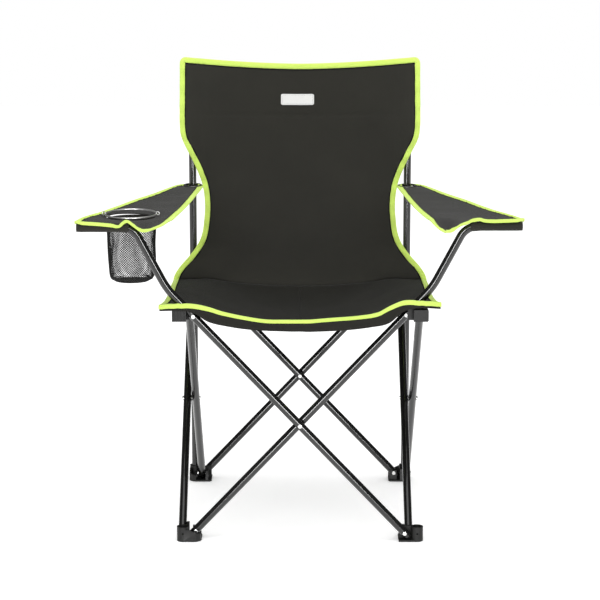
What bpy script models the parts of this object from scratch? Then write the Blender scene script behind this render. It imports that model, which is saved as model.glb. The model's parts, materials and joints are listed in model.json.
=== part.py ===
"""A folding camp chair: four scissor pairs of steel tube, four feet, four hubs, two back posts and the cloth that they stretch."""

from math import cos, sin, pi, radians, sqrt

import bmesh
import bpy
from mathutils import Matrix, Vector

# Sizes in metres. +X is the sitter's left as they sit, -Y is the front, +Z is up.
PIVOT = 0.1925  # half the spacing of the rivets at the feet and at the hubs
FOOT_Z = 0.0155  # height of the foot rivets
HUB_Z = 0.4212  # height of the hub rivets
TUBE = 0.0075  # radius of every tube
WALL = 0.0011  # thickness of the tube wall
WASHER = 0.0012  # the spacer between the two tubes of a pair
FIT = 0.0003  # clearance between a moulding and what turns against it
TUBE_GAP = WASHER + 0.0004
OUTER = PIVOT + 0.0253  # plane of the outer tube of each pair
INNER = OUTER - 2 * TUBE - TUBE_GAP  # plane of the inner tube of each pair
CORNER = PIVOT + 0.0230  # where the back posts stand
OVERHANG = 0.009  # tube past its end rivet
POST_TOP = 0.851
POST_FIT = 0.0004  # clearance of a post in its bore
SOCKET_WALL = 0.0035
CHEEK = 0.0050  # thickness of the wall that a rivet clamps
SHANK = 0.0025  # radius of a rivet
HOLE = SHANK + 0.0002
RIVET_POCKET = 0.0020  # depth of the recess over a rivet's tail
POCKET_RADIUS = 0.0042
PIN_BORE = 0.0018
FOOT_BASE = 0.0031  # thickness of the foot's floor
FOOT_TOP = 0.0270
HUB_DOWN = 0.0082  # the hub's underside, below its rivets
HUB_UP = 0.0132  # the top of the hub's corner block, above its rivets
ARM_Z = 0.5825  # the level end of an arm tube
ARM_END = CORNER + 0.1775
ARM_SLOPE = 62  # degrees, of the middle stretch of an arm tube
ARM_CLOTH = 0.0025
ARM_RISE = 0.047  # the armrests climb this much to the back
SLEEVE = 0.0017  # cloth of the sleeves round the arm tubes
CLOTH = 0.0024
FLAP_CLOTH = 0.0018
GROMMET = 0.0151  # inner radius of the eyelets that slide on the back posts
CUP = (-CORNER - 0.0960, -0.1130)  # the middle of the cup holder
CUP_RADIUS = 0.0450  # the opening in the armrest
CUP_DEPTH = 0.1165

OUTER_CHEEK = OUTER - TUBE - FIT  # the face that an outer tube turns against
INNER_CHEEK = INNER - TUBE - FIT
OUTER_BACK = OUTER_CHEEK - CHEEK
INNER_BACK = INNER_CHEEK - CHEEK
rise = HUB_Z - FOOT_Z
TILT = Vector((2 * PIVOT, rise)).normalized()
MIDDLE_Z = (HUB_Z + FOOT_Z) / 2

for old in list(bpy.data.objects):
    bpy.data.objects.remove(old)


def put(name, points, faces):
    mesh = bpy.data.meshes.new(name)
    mesh.from_pydata([tuple(p) for p in points], [], faces)
    shape = bmesh.new()
    shape.from_mesh(mesh)
    bmesh.ops.recalc_face_normals(shape, faces=shape.faces)
    shape.to_mesh(mesh)
    shape.free()
    obj = bpy.data.objects.new(name, mesh)
    bpy.context.scene.collection.objects.link(obj)
    return obj


def copy_of(master, name, turns):
    """The same piece, turned about the chair's middle by whole quarters."""
    obj = bpy.data.objects.new(name, master.data)
    obj.rotation_euler[2] = turns * pi / 2
    bpy.context.scene.collection.objects.link(obj)
    return obj


def drop(*objects):
    for obj in objects:
        bpy.data.objects.remove(obj)


def combine(obj, others, operation):
    """Joins or cuts with each of the others in turn, and takes them out of the scene."""
    for other in others:
        modifier = obj.modifiers.new(operation, "BOOLEAN")
        modifier.operation = operation
        modifier.solver = "EXACT"
        modifier.object = other
        bpy.context.view_layer.update()
        graph = bpy.context.evaluated_depsgraph_get()
        mesh = bpy.data.meshes.new_from_object(obj.evaluated_get(graph))
        obj.modifiers.clear()
        obj.data = mesh
    drop(*others)
    return obj


def box(x0, x1, y0, y1, z0, z1):
    corners = [(x, y, z) for z in (z0, z1) for y in (y0, y1) for x in (x0, x1)]
    return put(
        "box",
        corners,
        [(0, 1, 3, 2), (4, 6, 7, 5), (0, 4, 5, 1), (1, 5, 7, 3), (3, 7, 6, 2), (2, 6, 4, 0)],
    )


def bar(x0, x1, y0, y1, z0, z1):
    """A box given by its distances from the middle, in the front left quarter."""
    return box(-x1, -x0, -y1, -y0, z0, z1)


def rod(start, end, radius, segments=12, name="rod"):
    """A solid cylinder between two points."""
    start, end = Vector(start), Vector(end)
    along = (end - start).normalized()
    side = along.cross(Vector((0, 0, 1)))
    side = side.normalized() if side.length > 1e-6 else Vector((1, 0, 0))
    up = side.cross(along)
    turn = [2 * pi * i / segments for i in range(segments)]
    points = [p + radius * (cos(t) * side + sin(t) * up) for p in (start, end) for t in turn]
    n = segments
    faces = [(i, (i + 1) % n, n + (i + 1) % n, n + i) for i in range(n)]
    return put(name, points, faces + [tuple(range(n)), tuple(range(n, 2 * n))])


def turned(name, profile, place, along, segments):
    """A profile of (radius, distance) turned about an axis. Both ends lie on the axis."""
    along = Vector(along).normalized()
    side = along.cross(Vector((0, 0, 1)))
    side = side.normalized() if side.length > 1e-6 else Vector((1, 0, 0))
    up = side.cross(along)
    points, rings = [], []
    for radius, far in profile:
        centre = Vector(place) + far * along
        if radius == 0:
            rings.append([len(points)])
            points.append(centre)
            continue
        rings.append([len(points) + i for i in range(segments)])
        for i in range(segments):
            t = 2 * pi * i / segments
            points.append(centre + radius * (cos(t) * side + sin(t) * up))
    faces = []
    for low, high in zip(rings, rings[1:]):
        for i in range(segments):
            j = (i + 1) % segments
            ends = [low[i % len(low)], low[j % len(low)], high[j % len(high)], high[i % len(high)]]
            faces.append(tuple(dict.fromkeys(ends)))
    return put(name, points, faces)


def loop(name, profile, segments, place=(0, 0, 0)):
    """A closed profile of (radius, height) turned about a vertical axis: a ring."""
    points = [
        Vector(place) + Vector((r * cos(2 * pi * i / segments), r * sin(2 * pi * i / segments), z))
        for r, z in profile
        for i in range(segments)
    ]
    n, m = segments, len(profile)
    faces = [
        (a * n + i, a * n + (i + 1) % n, (a + 1) % m * n + (i + 1) % n, (a + 1) % m * n + i)
        for a in range(m)
        for i in range(n)
    ]
    return put(name, points, faces)


def pipe(name, path, plane, segments=14):
    """A hollow tube along a path of (x, z) in the plane y = plane."""
    n, count, points = segments, len(path), []
    for radius in (TUBE, TUBE - WALL):
        for i, (x, z) in enumerate(path):
            before, after = path[max(i - 1, 0)], path[min(i + 1, count - 1)]
            way = Vector((after[0] - before[0], 0, after[1] - before[1])).normalized()
            out = way.cross(Vector((0, 1, 0)))
            for j in range(n):
                t = 2 * pi * (j + 0.5) / n
                points.append(Vector((x, plane, z)) + radius * (cos(t) * out + sin(t) * Vector((0, 1, 0))))
    faces = []
    for wall in (0, 1):
        for i in range(count - 1):
            for j in range(n):
                a, b = (wall * count + i) * n + j, (wall * count + i) * n + (j + 1) % n
                faces.append((a, b, b + n, a + n))
    for i in (0, count - 1):
        for j in range(n):
            a, b = i * n + j, i * n + (j + 1) % n
            faces.append((a, b, b + count * n, a + count * n))
    return put(name, points, faces)


def fillet(before, corner, after, radius, steps):
    """Points of an arc that rounds a corner of a path."""
    before, corner, after = Vector(before), Vector(corner), Vector(after)
    one, two = (before - corner).normalized(), (after - corner).normalized()
    half = one.angle(two) / 2
    centre = corner + (one + two).normalized() * radius / sin(half)
    start, end = corner + one * radius / tan(half), corner + two * radius / tan(half)
    a, b = start - centre, end - centre
    span = a.angle(b)
    return [
        tuple(centre + (a * sin(span * (1 - k / steps)) + b * sin(span * k / steps)) / sin(span))
        for k in range(steps + 1)
    ]


def tan(angle):
    return sin(angle) / cos(angle)


def cloth(name, rows, thickness=CLOTH):
    """A sheet through rows of points, made solid along its own normals."""
    n, m = len(rows), len(rows[0])
    rows = [[Vector(p) for p in row] for row in rows]
    under = []
    for i in range(n):
        for j in range(m):
            across = rows[i][min(j + 1, m - 1)] - rows[i][max(j - 1, 0)]
            along = rows[min(i + 1, n - 1)][j] - rows[max(i - 1, 0)][j]
            under.append(rows[i][j] + thickness * across.cross(along).normalized())
    points = [p for row in rows for p in row] + under
    faces, back = [], n * m
    for i in range(n - 1):
        for j in range(m - 1):
            a = i * m + j
            faces.append((a, a + 1, a + m + 1, a + m))
            faces.append((back + a, back + a + m, back + a + m + 1, back + a + 1))
    rim = (
        [j for j in range(m)]
        + [i * m + m - 1 for i in range(1, n)]
        + [(n - 1) * m + j for j in range(m - 2, -1, -1)]
        + [i * m for i in range(n - 2, 0, -1)]
    )
    for a, b in zip(rim, rim[1:] + rim[:1]):
        faces.append((a, back + a, back + b, b))
    return put(name, points, faces)


def level(table, at):
    """Linear steps through a table of (place, value)."""
    if at <= table[0][0]:
        return table[0][1]
    for (a, p), (b, q) in zip(table, table[1:]):
        if at <= b:
            return p + (q - p) * (at - a) / (b - a)
    return table[-1][1]


# ---------------------------------------------------------------- tubes
def end_past(x, z, sign):
    return (x + sign * TILT[0] * OVERHANG, z + TILT[1] * OVERHANG * (1 if z > 0.2 else -1))


def rivet_holes(plane, mirror):
    """One cutter with the foot, middle and hub holes of a tube."""
    spots = [(mirror * PIVOT, FOOT_Z), (0, MIDDLE_Z), (-mirror * PIVOT, HUB_Z)]
    return [rod((x, plane - 0.012, z), (x, plane + 0.012, z), HOLE, 10) for x, z in spots]


def plain_tube(name, plane, mirror):
    """From the foot at x = mirror * PIVOT to the hub on the other side."""
    low = end_past(mirror * PIVOT, FOOT_Z, mirror)
    high = end_past(-mirror * PIVOT, HUB_Z, -mirror)
    return combine(pipe(name, [low, high], plane), rivet_holes(plane, mirror), "DIFFERENCE")


KNEE = 0.068  # from the hub rivet to the first bend


def arm_tube(name, plane, mirror):
    """A front tube that goes on past its hub and bends to carry an armrest."""
    low = end_past(PIVOT, FOOT_Z, 1)
    first = (-PIVOT - KNEE * TILT[0], HUB_Z + KNEE * TILT[1])
    slope = radians(ARM_SLOPE)
    second = (first[0] - (ARM_Z - first[1]) / tan(slope), ARM_Z)
    last = (-ARM_END, ARM_Z)
    path = [low] + fillet(low, first, second, 0.14, 3) + fillet(first, second, last, 0.036, 6) + [last]
    obj = pipe(name, [(mirror * x, z) for x, z in path], plane)
    return combine(obj, rivet_holes(plane, mirror), "DIFFERENCE")


arm_tube("front_tube_outer", -OUTER, 1)
arm_tube("front_tube_inner", -INNER, -1)
outer_master = plain_tube("outer_master", -OUTER, 1)
inner_master = plain_tube("inner_master", -INNER, -1)
copy_of(outer_master, "right_tube_outer", 1)
copy_of(outer_master, "rear_tube_outer", 2)
copy_of(outer_master, "left_tube_outer", 3)
copy_of(inner_master, "right_tube_inner", 1)
copy_of(inner_master, "rear_tube_inner", 2)
copy_of(inner_master, "left_tube_inner", 3)
drop(outer_master, inner_master)

# ---------------------------------------------------------------- rivets
HEAD = [(0, 0.0026), (0.0027, 0.0020), (0.0040, 0.0001), (SHANK, 0.0001)]
ACROSS = -OUTER - TUBE  # the outside of an outer tube
GRIP = 2 * TUBE + FIT + CHEEK - RIVET_POCKET + 0.0001  # from the tube's outside to the recess


def rivet(name, x, surface, z, grip):
    profile = HEAD + [(SHANK, -grip), (0.0038, -grip), (0.0038, -grip - 0.0016), (0, -grip - 0.0016)]
    return turned(name, profile, (x, surface, z), (0, -1, 0), 10)


SIDES = ["front", "right", "rear", "left"]
middle = rivet("middle", 0, ACROSS, MIDDLE_Z, OUTER - INNER + 2 * TUBE + 0.0001)
foot_outer = rivet("foot_outer", PIVOT, ACROSS, FOOT_Z, GRIP)
foot_inner = rivet("foot_inner", -PIVOT, -INNER - TUBE, FOOT_Z, GRIP)
hub_outer = rivet("hub_outer", -PIVOT, ACROSS, HUB_Z, GRIP)
hub_inner = rivet("hub_inner", PIVOT, -INNER - TUBE, HUB_Z, GRIP)
half = WASHER / 2
spacer = loop("spacer", [(SHANK + 0.0004, -half), (0.0062, -half), (0.0062, half), (SHANK + 0.0004, half)], 10)
spacer.data.transform(Matrix.Translation((0, -(OUTER + INNER) / 2, MIDDLE_Z)) @ Matrix.Rotation(pi / 2, 4, "X"))
for turns, side in enumerate(SIDES):
    copy_of(middle, side + "_middle_rivet", turns)
    copy_of(spacer, side + "_middle_spacer", turns)
    copy_of(foot_outer, side + "_foot_rivet_outer", turns)
    copy_of(foot_inner, side + "_foot_rivet_inner", turns)
    copy_of(hub_outer, side + "_hub_rivet_outer", turns)
    copy_of(hub_inner, side + "_hub_rivet_inner", turns)
drop(middle, foot_outer, foot_inner, hub_outer, hub_inner, spacer)


# ---------------------------------------------------------------- feet and hubs
PIN_Z = 0.0150  # height of the pins that hold the posts


def rivet_seats(obj, z, outer_on_y):
    """Holes for the two rivets of a corner, with a pocket for each rivet's tail."""
    cutters = []
    for back, on_y in ((OUTER_BACK, outer_on_y), (INNER_BACK, not outer_on_y)):
        def spot(distance):
            return (-distance, -PIVOT, z) if on_y else (-PIVOT, -distance, z)

        room = 0.0062 if back == OUTER_BACK else 0.001
        cutters.append(rod(spot(back + RIVET_POCKET + 0.006), spot(back - 0.001), HOLE, 10))
        cutters.append(rod(spot(back + RIVET_POCKET), spot(back - room), POCKET_RADIUS, 10))
    return combine(obj, cutters, "DIFFERENCE")


def slab(outline, low, high):
    """A flat plate: an outline of (x, y) given by distances from the middle, between two heights."""
    points = [(-x, -y, z) for z in (low, high) for x, y in outline]
    n = len(outline)
    faces = [(i, (i + 1) % n, n + (i + 1) % n, n + i) for i in range(n)]
    return put("slab", points, faces + [tuple(range(n)), tuple(range(n, 2 * n))])


def fence(outline, near, far):
    """A standing plate: an outline of (x, z), between two distances to the front."""
    points = [(-x, -y, z) for y in (near, far) for x, z in outline]
    n = len(outline)
    faces = [(i, (i + 1) % n, n + (i + 1) % n, n + i) for i in range(n)]
    return put("fence", points, faces + [tuple(range(n)), tuple(range(n, 2 * n))])


def make_foot():
    """The foot of the front left corner: an inner tube across, an outer tube to the back."""
    inner_end = PIVOT - 0.0110
    socket = TUBE + POST_FIT + SOCKET_WALL
    front = CORNER + socket
    outline = [
        (inner_end, inner_end + 0.004), (inner_end + 0.004, inner_end), (CORNER + 0.0110, inner_end),
        (CORNER + 0.0110, CORNER), (CORNER, front), (inner_end + 0.0095, front), (inner_end + 0.0020, front - 0.0065),
        (inner_end, front - 0.0140),
    ]
    foot = slab(outline, 0, FOOT_BASE)
    inside = front - 0.0032
    wall = [
        (CORNER - 0.0020, front), (inner_end + 0.0095, front), (inner_end + 0.0020, front - 0.0065),
        (inner_end + 0.0002, front - 0.0135), (inner_end + 0.0032, front - 0.0135), (inner_end + 0.0048, front - 0.0080),
        (inner_end + 0.0108, inside), (CORNER - 0.0020, inside),
    ]
    wall = slab(wall, 0.0002, FOOT_Z + 0.0072)
    edge = CORNER - socket - 0.0001
    above = [
        (edge + 0.0008, FOOT_Z + 0.0071), (PIVOT + 0.0035, FOOT_Z + 0.0030), (PIVOT - 0.0035, FOOT_Z - 0.0002),
        (inner_end - 0.0010, FOOT_Z - 0.0035), (inner_end - 0.0010, FOOT_Z + 0.0200), (edge + 0.0008, FOOT_Z + 0.0200),
    ]
    combine(wall, [fence(above, front - 0.0200, front + 0.0010)], "DIFFERENCE")
    more = [
        rod((-CORNER, -CORNER, 0), (-CORNER, -CORNER, FOOT_TOP), socket, 20),
        bar(OUTER_BACK, OUTER_CHEEK, PIVOT - 0.0105, PIVOT + 0.0150, 0.0002, FOOT_TOP - 0.0008),
        bar(PIVOT - 0.0095, PIVOT + 0.0060, INNER_BACK, INNER_CHEEK, 0.0002, FOOT_Z + 0.0062),
        wall,
    ]
    combine(foot, more, "UNION")
    bore = TUBE + POST_FIT
    combine(
        foot,
        [
            rod((-CORNER, -CORNER, FOOT_BASE), (-CORNER, -CORNER, FOOT_TOP + 0.003), bore, 16),
            rod((-CORNER, -CORNER - 0.02, PIN_Z), (-CORNER, -CORNER + 0.02, PIN_Z), PIN_BORE, 8),
            rod((-CORNER - 0.02, -CORNER, PIN_Z), (-CORNER + 0.02, -CORNER, PIN_Z), PIN_BORE, 8),
        ],
        "DIFFERENCE",
    )
    # Room for the end of the outer tube beside the socket.
    beside = PIVOT + 0.0125
    combine(foot, [bar(OUTER_CHEEK + 0.0001, 0.24, PIVOT - 0.0225, beside, FOOT_BASE, 0.05)], "DIFFERENCE")
    return rivet_seats(foot, FOOT_Z, True)


def make_hub():
    """The hub of the front left corner: an outer tube across, an inner tube to the back."""
    low, top = HUB_Z - HUB_DOWN, HUB_Z + HUB_UP
    far = CORNER + TUBE + POST_FIT + 0.0071
    near = CORNER - TUBE - 0.0030
    hub = bar(near, far, near, far, low, top)
    more = [
        bar(PIVOT - 0.0100, near + 0.0030, OUTER_BACK, OUTER_CHEEK, low + 0.0002, top - 0.0036),
        bar(INNER_BACK, INNER_CHEEK, PIVOT - 0.0100, near + 0.0030, low + 0.0004, top - 0.0038),
        bar(CORNER - 0.0030, CORNER + 0.0010, PIVOT + 0.0020, far - 0.0015, low + 0.0006, top + 0.0010),
    ]
    combine(hub, more, "UNION")
    bore = TUBE + POST_FIT
    combine(hub, [rod((-CORNER, -CORNER, low - 0.02), (-CORNER, -CORNER, top + 0.02), bore, 16)], "DIFFERENCE")
    return rivet_seats(hub, HUB_Z, False)


def lane(plane, mirror):
    """Room for an arm tube as it turns about its hub rivet, from open to folded."""
    made = []
    for degrees in (46.5, 54, 62, 71, 81):
        way = Vector((mirror * cos(radians(degrees)), 0, sin(radians(degrees))))
        pivot = Vector((mirror * PIVOT, plane, HUB_Z))
        made.append(rod(pivot + 0.004 * way, pivot + 0.06 * way, TUBE + 0.0005, 16))
    return made


foot = make_foot()
hub = make_hub()
CORNERS = ["front_left", "front_right", "rear_right", "rear_left"]
for turns, corner in enumerate(CORNERS):
    copy_of(foot, corner + "_foot", turns)
    made = copy_of(hub, corner + "_hub", turns)
    if corner == "front_left":
        combine(made, lane(-OUTER, -1), "DIFFERENCE")
    if corner == "front_right":
        combine(made, lane(-INNER, 1), "DIFFERENCE")
drop(foot, hub)

# ---------------------------------------------------------------- back posts
POST_FOOT = FOOT_BASE + 0.0004
SOCKET = TUBE + POST_FIT + SOCKET_WALL
CAP = TUBE - WALL - 0.0003  # radius of the part of a cap that is inside its tube
for side, sign in (("left", -1), ("right", 1)):
    x, y = sign * CORNER, CORNER
    post = loop(
        side + "_back_post",
        [(TUBE - WALL, POST_FOOT), (TUBE, POST_FOOT), (TUBE, POST_TOP), (TUBE - WALL, POST_TOP)],
        16,
        (x, y, 0),
    )
    combine(post, [rod((x, y - 0.02, PIN_Z), (x, y + 0.02, PIN_Z), PIN_BORE - 0.0001, 8)], "DIFFERENCE")
    turned(
        side + "_post_pin",
        [
            (0, SOCKET + 0.0012), (0.0022, SOCKET + 0.0012), (0.0026, SOCKET + 0.0003), (PIN_BORE - 0.0003, SOCKET + 0.0003),
            (PIN_BORE - 0.0003, TUBE - 0.0035), (0, TUBE - 0.0045),
        ],
        (x, y, PIN_Z),
        (0, 1, 0),
        8,
    )
    turned(
        side + "_post_cap",
        [(0, 0.0042), (TUBE - 0.0023, 0.0040), (TUBE, 0.0022), (TUBE, 0.0003), (CAP, 0.0003), (CAP, -0.010), (0, -0.010)],
        (x, y, POST_TOP),
        (0, 0, 1),
        16,
    )
    turned(
        side + "_arm_cap",
        [(0, 0.0040), (TUBE - 0.0019, 0.0036), (TUBE, 0.0018), (TUBE, 0.0003), (CAP, 0.0003), (CAP, -0.010), (0, -0.010)],
        (sign * ARM_END, -OUTER if sign < 0 else -INNER, ARM_Z),
        (sign, 0, 0),
        16,
    )

# ---------------------------------------------------------------- back cloth
# (share of the way from the hubs to the tops of the posts, half width past the posts)
HALF_WIDTH = [
    (-0.0074, 0.0385), (0.0112, 0.0355), (0.0484, 0.0255), (0.1019, 0.0060), (0.1554, -0.0110),
    (0.2066, -0.0195), (0.2578, -0.0230), (0.3416, -0.0262), (0.4276, -0.0230), (0.4998, -0.0125),
    (0.5835, 0.0040), (0.6417, 0.0170), (0.6766, 0.0210), (0.8464, 0.0210), (1.0279, 0.0200),
]
# (share of the height, distance behind the front of the posts)
SET_BACK = [(-0.0074, -0.0315), (0.0344, -0.0315), (0.0624, -0.0180), (0.0949, -0.0065), (0.1368, -0.0040)]


BACK_HEIGHT = POST_TOP - HUB_Z
BELLY = 0.026
TOP_SAG = 0.013


def top_sag(x, share):
    return TOP_SAG * max(0.0, 1 - (x / 0.20) ** 2) * max(0.0, (share - 0.6487) / 0.3793)


def back_point(across, share):
    """A point of the back's front side, at a share of the half width and of the height."""
    x = across * (CORNER + level(HALF_WIDTH, share))
    middle = max(0.0, 1 - (x / 0.19) ** 2)
    belly = BELLY * middle * sin(pi * min(1, max(0, share - 0.0205)))
    y = CORNER - TUBE + level(SET_BACK, share) + belly
    return (x, y, HUB_Z + BACK_HEIGHT * share - top_sag(x, share))


shares = [-1, -0.8, -0.6, -0.4, -0.2, 0, 0.2, 0.4, 0.6, 0.8, 1]
heights = [share for share, _ in HALF_WIDTH] + [0.0298, 0.0670]
cloth("back_panel", [[back_point(s, z) for s in shares] for z in sorted(heights)], -CLOTH)

BEHIND = CORNER + TUBE + 0.0032  # the flap hangs behind the posts
FLAP = [
    (BEHIND, -0.098), (BEHIND, -0.051), (BEHIND, 0.001), (BEHIND - 0.0022, 0.008), (BEHIND - 0.0062, 0.009),
    (BEHIND - 0.0178, 0.009),
]
flap_half = CORNER + 0.0190
cloth(
    "back_pocket_panel",
    [
        [(flap_half * s, y, POST_TOP + up - top_sag(flap_half * s, 1 + up / BACK_HEIGHT)) for s in shares]
        for y, up in FLAP
    ],
    -FLAP_CLOTH,
)

# ---------------------------------------------------------------- seat cloth
# (distance in from the plane of the posts, height above the hub rivets)
ACROSS_FRONT = [(0.2155, -0.0082), (0.1555, -0.0067), (0.1155, -0.0022), (0.0755, 0.0068), (0.0505, 0.0178), (0.0305, 0.0238), (-0.0365, 0.0218)]
ACROSS_MIDDLE = [(0.2155, -0.0432), (0.1555, -0.0402), (0.1155, -0.0322), (0.0755, -0.0202), (0.0505, -0.0102), (0.0305, -0.0022), (-0.0365, 0.0058)]
ACROSS_REAR = [(0.2155, -0.0122), (0.1555, -0.0112), (0.1155, -0.0087), (0.0755, -0.0052), (0.0505, -0.0012), (0.0305, 0.0023), (-0.0365, -0.0012)]


FRONT_BEND = CORNER + 0.0165
REAR_SEAM = CORNER - 0.0403


def seat_point(x, y):
    """The upper side of the seat, at a distance x from the middle."""
    inwards = [[(CORNER - d, up) for d, up in table] for table in (ACROSS_FRONT, ACROSS_MIDDLE, ACROSS_REAR)]
    front, middle, rear = (HUB_Z + level(table, x) for table in inwards)
    end, reach = (front, FRONT_BEND) if y < 0 else (rear, REAR_SEAM)
    k = min(1, abs(y) / reach)
    return middle + (end - middle) * k * k * (3 - 2 * k)


columns = [0.0003, 0.03, 0.06] + [CORNER - d for d in (0.1155, 0.0755, 0.0505, 0.0305, 0.0105, -0.0145, -0.0365)]
depths = [-CORNER - 0.0105, 0.0155 - CORNER, -0.16, -0.11, -0.05, 0.01, 0.07, 0.12, CORNER - 0.0605, CORNER - 0.0403]
for side, sign in (("left", -1), ("right", 1)):
    line = [sign * x for x in columns]
    if sign < 0:
        line.reverse()
    lip = -FRONT_BEND - 0.0030
    rows = [
        [(x, lip, seat_point(abs(x), lip) - 0.0175 + 0.006 * max(0, (abs(x) - 0.12) / 0.13)) for x in line],
        [(x, lip, seat_point(abs(x), lip) - 0.0070) for x in line],
        [(x, lip + 0.0015, seat_point(abs(x), lip) - 0.0008) for x in line],
    ] + [[(x, y, seat_point(abs(x), y)) for x in line] for y in depths]
    seat = cloth(side + "_seat_panel", rows, -CLOTH)
    way = Vector((sign * TILT[0], 0, TILT[1]))
    pivot = Vector((sign * PIVOT, -OUTER if sign < 0 else -INNER, HUB_Z))
    combine(seat, [rod(pivot + 0.012 * way, pivot + 0.055 * way, TUBE + 0.0012, 16)], "DIFFERENCE")

# ---------------------------------------------------------------- armrests
# (share of the way to the corner, inner edge and outer edge past the plane of the posts)
ARM_ROWS = [
    (1.1112, -0.0050, 0.0070), (1.1007, -0.0120, 0.0145), (1.0673, -0.0172, 0.0225), (0.9838, -0.0193, 0.0335),
    (0.8817, -0.0190, 0.0430), (0.7425, -0.0170, 0.0545), (0.5800, -0.0140, 0.0675), (0.3944, -0.0105, 0.0845),
    (0.1995, -0.0070, 0.1035), (-0.0835, -0.0010, 0.1265), (-0.3248, 0.0050, 0.1485), (-0.4872, 0.0095, 0.1665),
    (-0.6729, 0.0155, 0.1855), (-0.7889, 0.0195, 0.1900), (-0.8817, 0.0235, 0.1885), (-0.9420, 0.0285, 0.1855),
    (-0.9791, 0.0345, 0.1795),
]


ARM_FRONT = 0.5845  # underside of the armrests near their front, before it lifts over the tube
FRONT_LIFT = ARM_Z + TUBE + 0.0014 - ARM_FRONT


def arm_under(x, y, plane=OUTER):
    """The underside of an armrest, which lifts over the tube and droops at its inner front corner."""
    forward = -y - CORNER
    droop = 0.017 * max(0.0, 1 - ((x - CORNER - 0.0425) / 0.034) ** 2) * max(0.0, min(1, (forward + 0.0505) / 0.055))
    lift = FRONT_LIFT * max(0.0, min(1, (-y - plane + 0.028) / 0.016))
    return ARM_FRONT + ARM_RISE * (y + 0.20) - droop + lift


EYE_Y = CORNER - 0.0015
for side, sign in (("left", -1), ("right", 1)):
    reach = 0.0166 if sign < 0 else 0.0  # the left arm tube is the outer one, so its armrest is longer
    line_shares = [0, 0.14, 0.3, 0.48, 0.66, 0.84, 1]
    if sign < 0:
        line_shares.reverse()
    rows = []
    for i, (share, near, far) in enumerate(ARM_ROWS):
        y = share * CORNER
        y -= reach * max(0.0, (-0.10 - y) / 0.111)
        near, far = CORNER + near, CORNER + far
        row = []
        for s in line_shares:
            x = near + (far - near) * s
            forward = 0.012 * max(0.0, 1 - ((x - CORNER - 0.0505) / 0.024) ** 2) * max(0, i - 13) / 3
            row.append((sign * x, y - forward, arm_under(x, y - forward, OUTER if sign < 0 else INNER)))
        rows.append(row)
    arm = cloth(side + "_armrest", rows, -ARM_CLOTH)
    y = -OUTER if sign < 0 else -INNER
    sleeve = rod((sign * (ARM_END - 0.063), y, ARM_Z), (sign * (ARM_END + 0.006), y, ARM_Z), TUBE + 0.0006 + SLEEVE, 18)
    combine(sleeve, [rod((sign * (ARM_END - 0.073), y, ARM_Z), (sign * (ARM_END + 0.017), y, ARM_Z), TUBE + 0.0006, 18)], "DIFFERENCE")
    combine(arm, [sleeve], "UNION")
    slot = rod((0, 0, -0.02), (0, 0, 0.02), GROMMET - 0.0001, 20)
    slot.data.transform(Matrix.Translation((sign * CORNER, EYE_Y, 0.604)) @ Matrix.Diagonal((1, 1.15, 1, 1)))
    cutters = [slot]
    if sign < 0:
        cutters.append(rod((CUP[0], CUP[1], 0.56), (CUP[0], CUP[1], 0.62), CUP_RADIUS, 24))
    combine(arm, cutters, "DIFFERENCE")
    top = arm_under(CORNER, EYE_Y) + ARM_CLOTH
    eye = loop("eye", [(GROMMET, 0.0004), (GROMMET + 0.0034, 0.0004), (GROMMET + 0.0034, 0.0020), (GROMMET, 0.0032)], 20)
    eye.data.transform(
        Matrix.Translation((sign * CORNER, EYE_Y, top))
        @ Matrix.Rotation(ARM_RISE, 4, "X")
        @ Matrix.Diagonal((1, 1.15, 1, 1))
    )
    eye.name = side + "_arm_grommet"

# ---------------------------------------------------------------- cup holder
RING = 0.0017
ring = loop(
    "cup_ring",
    [(CUP_RADIUS + 0.0024 + RING * cos(2 * pi * k / 6), RING * sin(2 * pi * k / 6)) for k in range(6)],
    24,
)
ring.data.transform(
    Matrix.Translation((CUP[0], CUP[1], arm_under(-CUP[0], CUP[1]) + ARM_CLOTH + RING + 0.0005)) @ Matrix.Rotation(ARM_RISE, 4, "X")
)
rim_z = arm_under(-CUP[0], CUP[1]) - 0.0078
floor_z = rim_z - CUP_DEPTH + 0.0037
turned(
    "cup_pocket",
    [
        (0, floor_z), (CUP_RADIUS - 0.0150, floor_z), (CUP_RADIUS - 0.0055, floor_z + 0.0045),
        (CUP_RADIUS - 0.0025, floor_z + 0.0160), (CUP_RADIUS - 0.0012, rim_z - 0.0508), (CUP_RADIUS + 0.0016, rim_z),
        (CUP_RADIUS, rim_z), (CUP_RADIUS - 0.0027, rim_z - 0.0508), (CUP_RADIUS - 0.0040, floor_z + 0.0170),
        (CUP_RADIUS - 0.0065, floor_z + 0.0065), (CUP_RADIUS - 0.0155, floor_z + 0.0017), (0, floor_z + 0.0017),
    ],
    (CUP[0], CUP[1], 0),
    (0, 0, 1),
    24,
)

# ---------------------------------------------------------------- finishes and origins
def finish(name, colour, roughness, metallic):
    made = bpy.data.materials.new(name)
    made.use_nodes = True
    sockets = made.node_tree.nodes["Principled BSDF"].inputs
    sockets["Base Color"].default_value = (*colour, 1)
    sockets["Roughness"].default_value = roughness
    sockets["Metallic"].default_value = metallic
    return made


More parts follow.
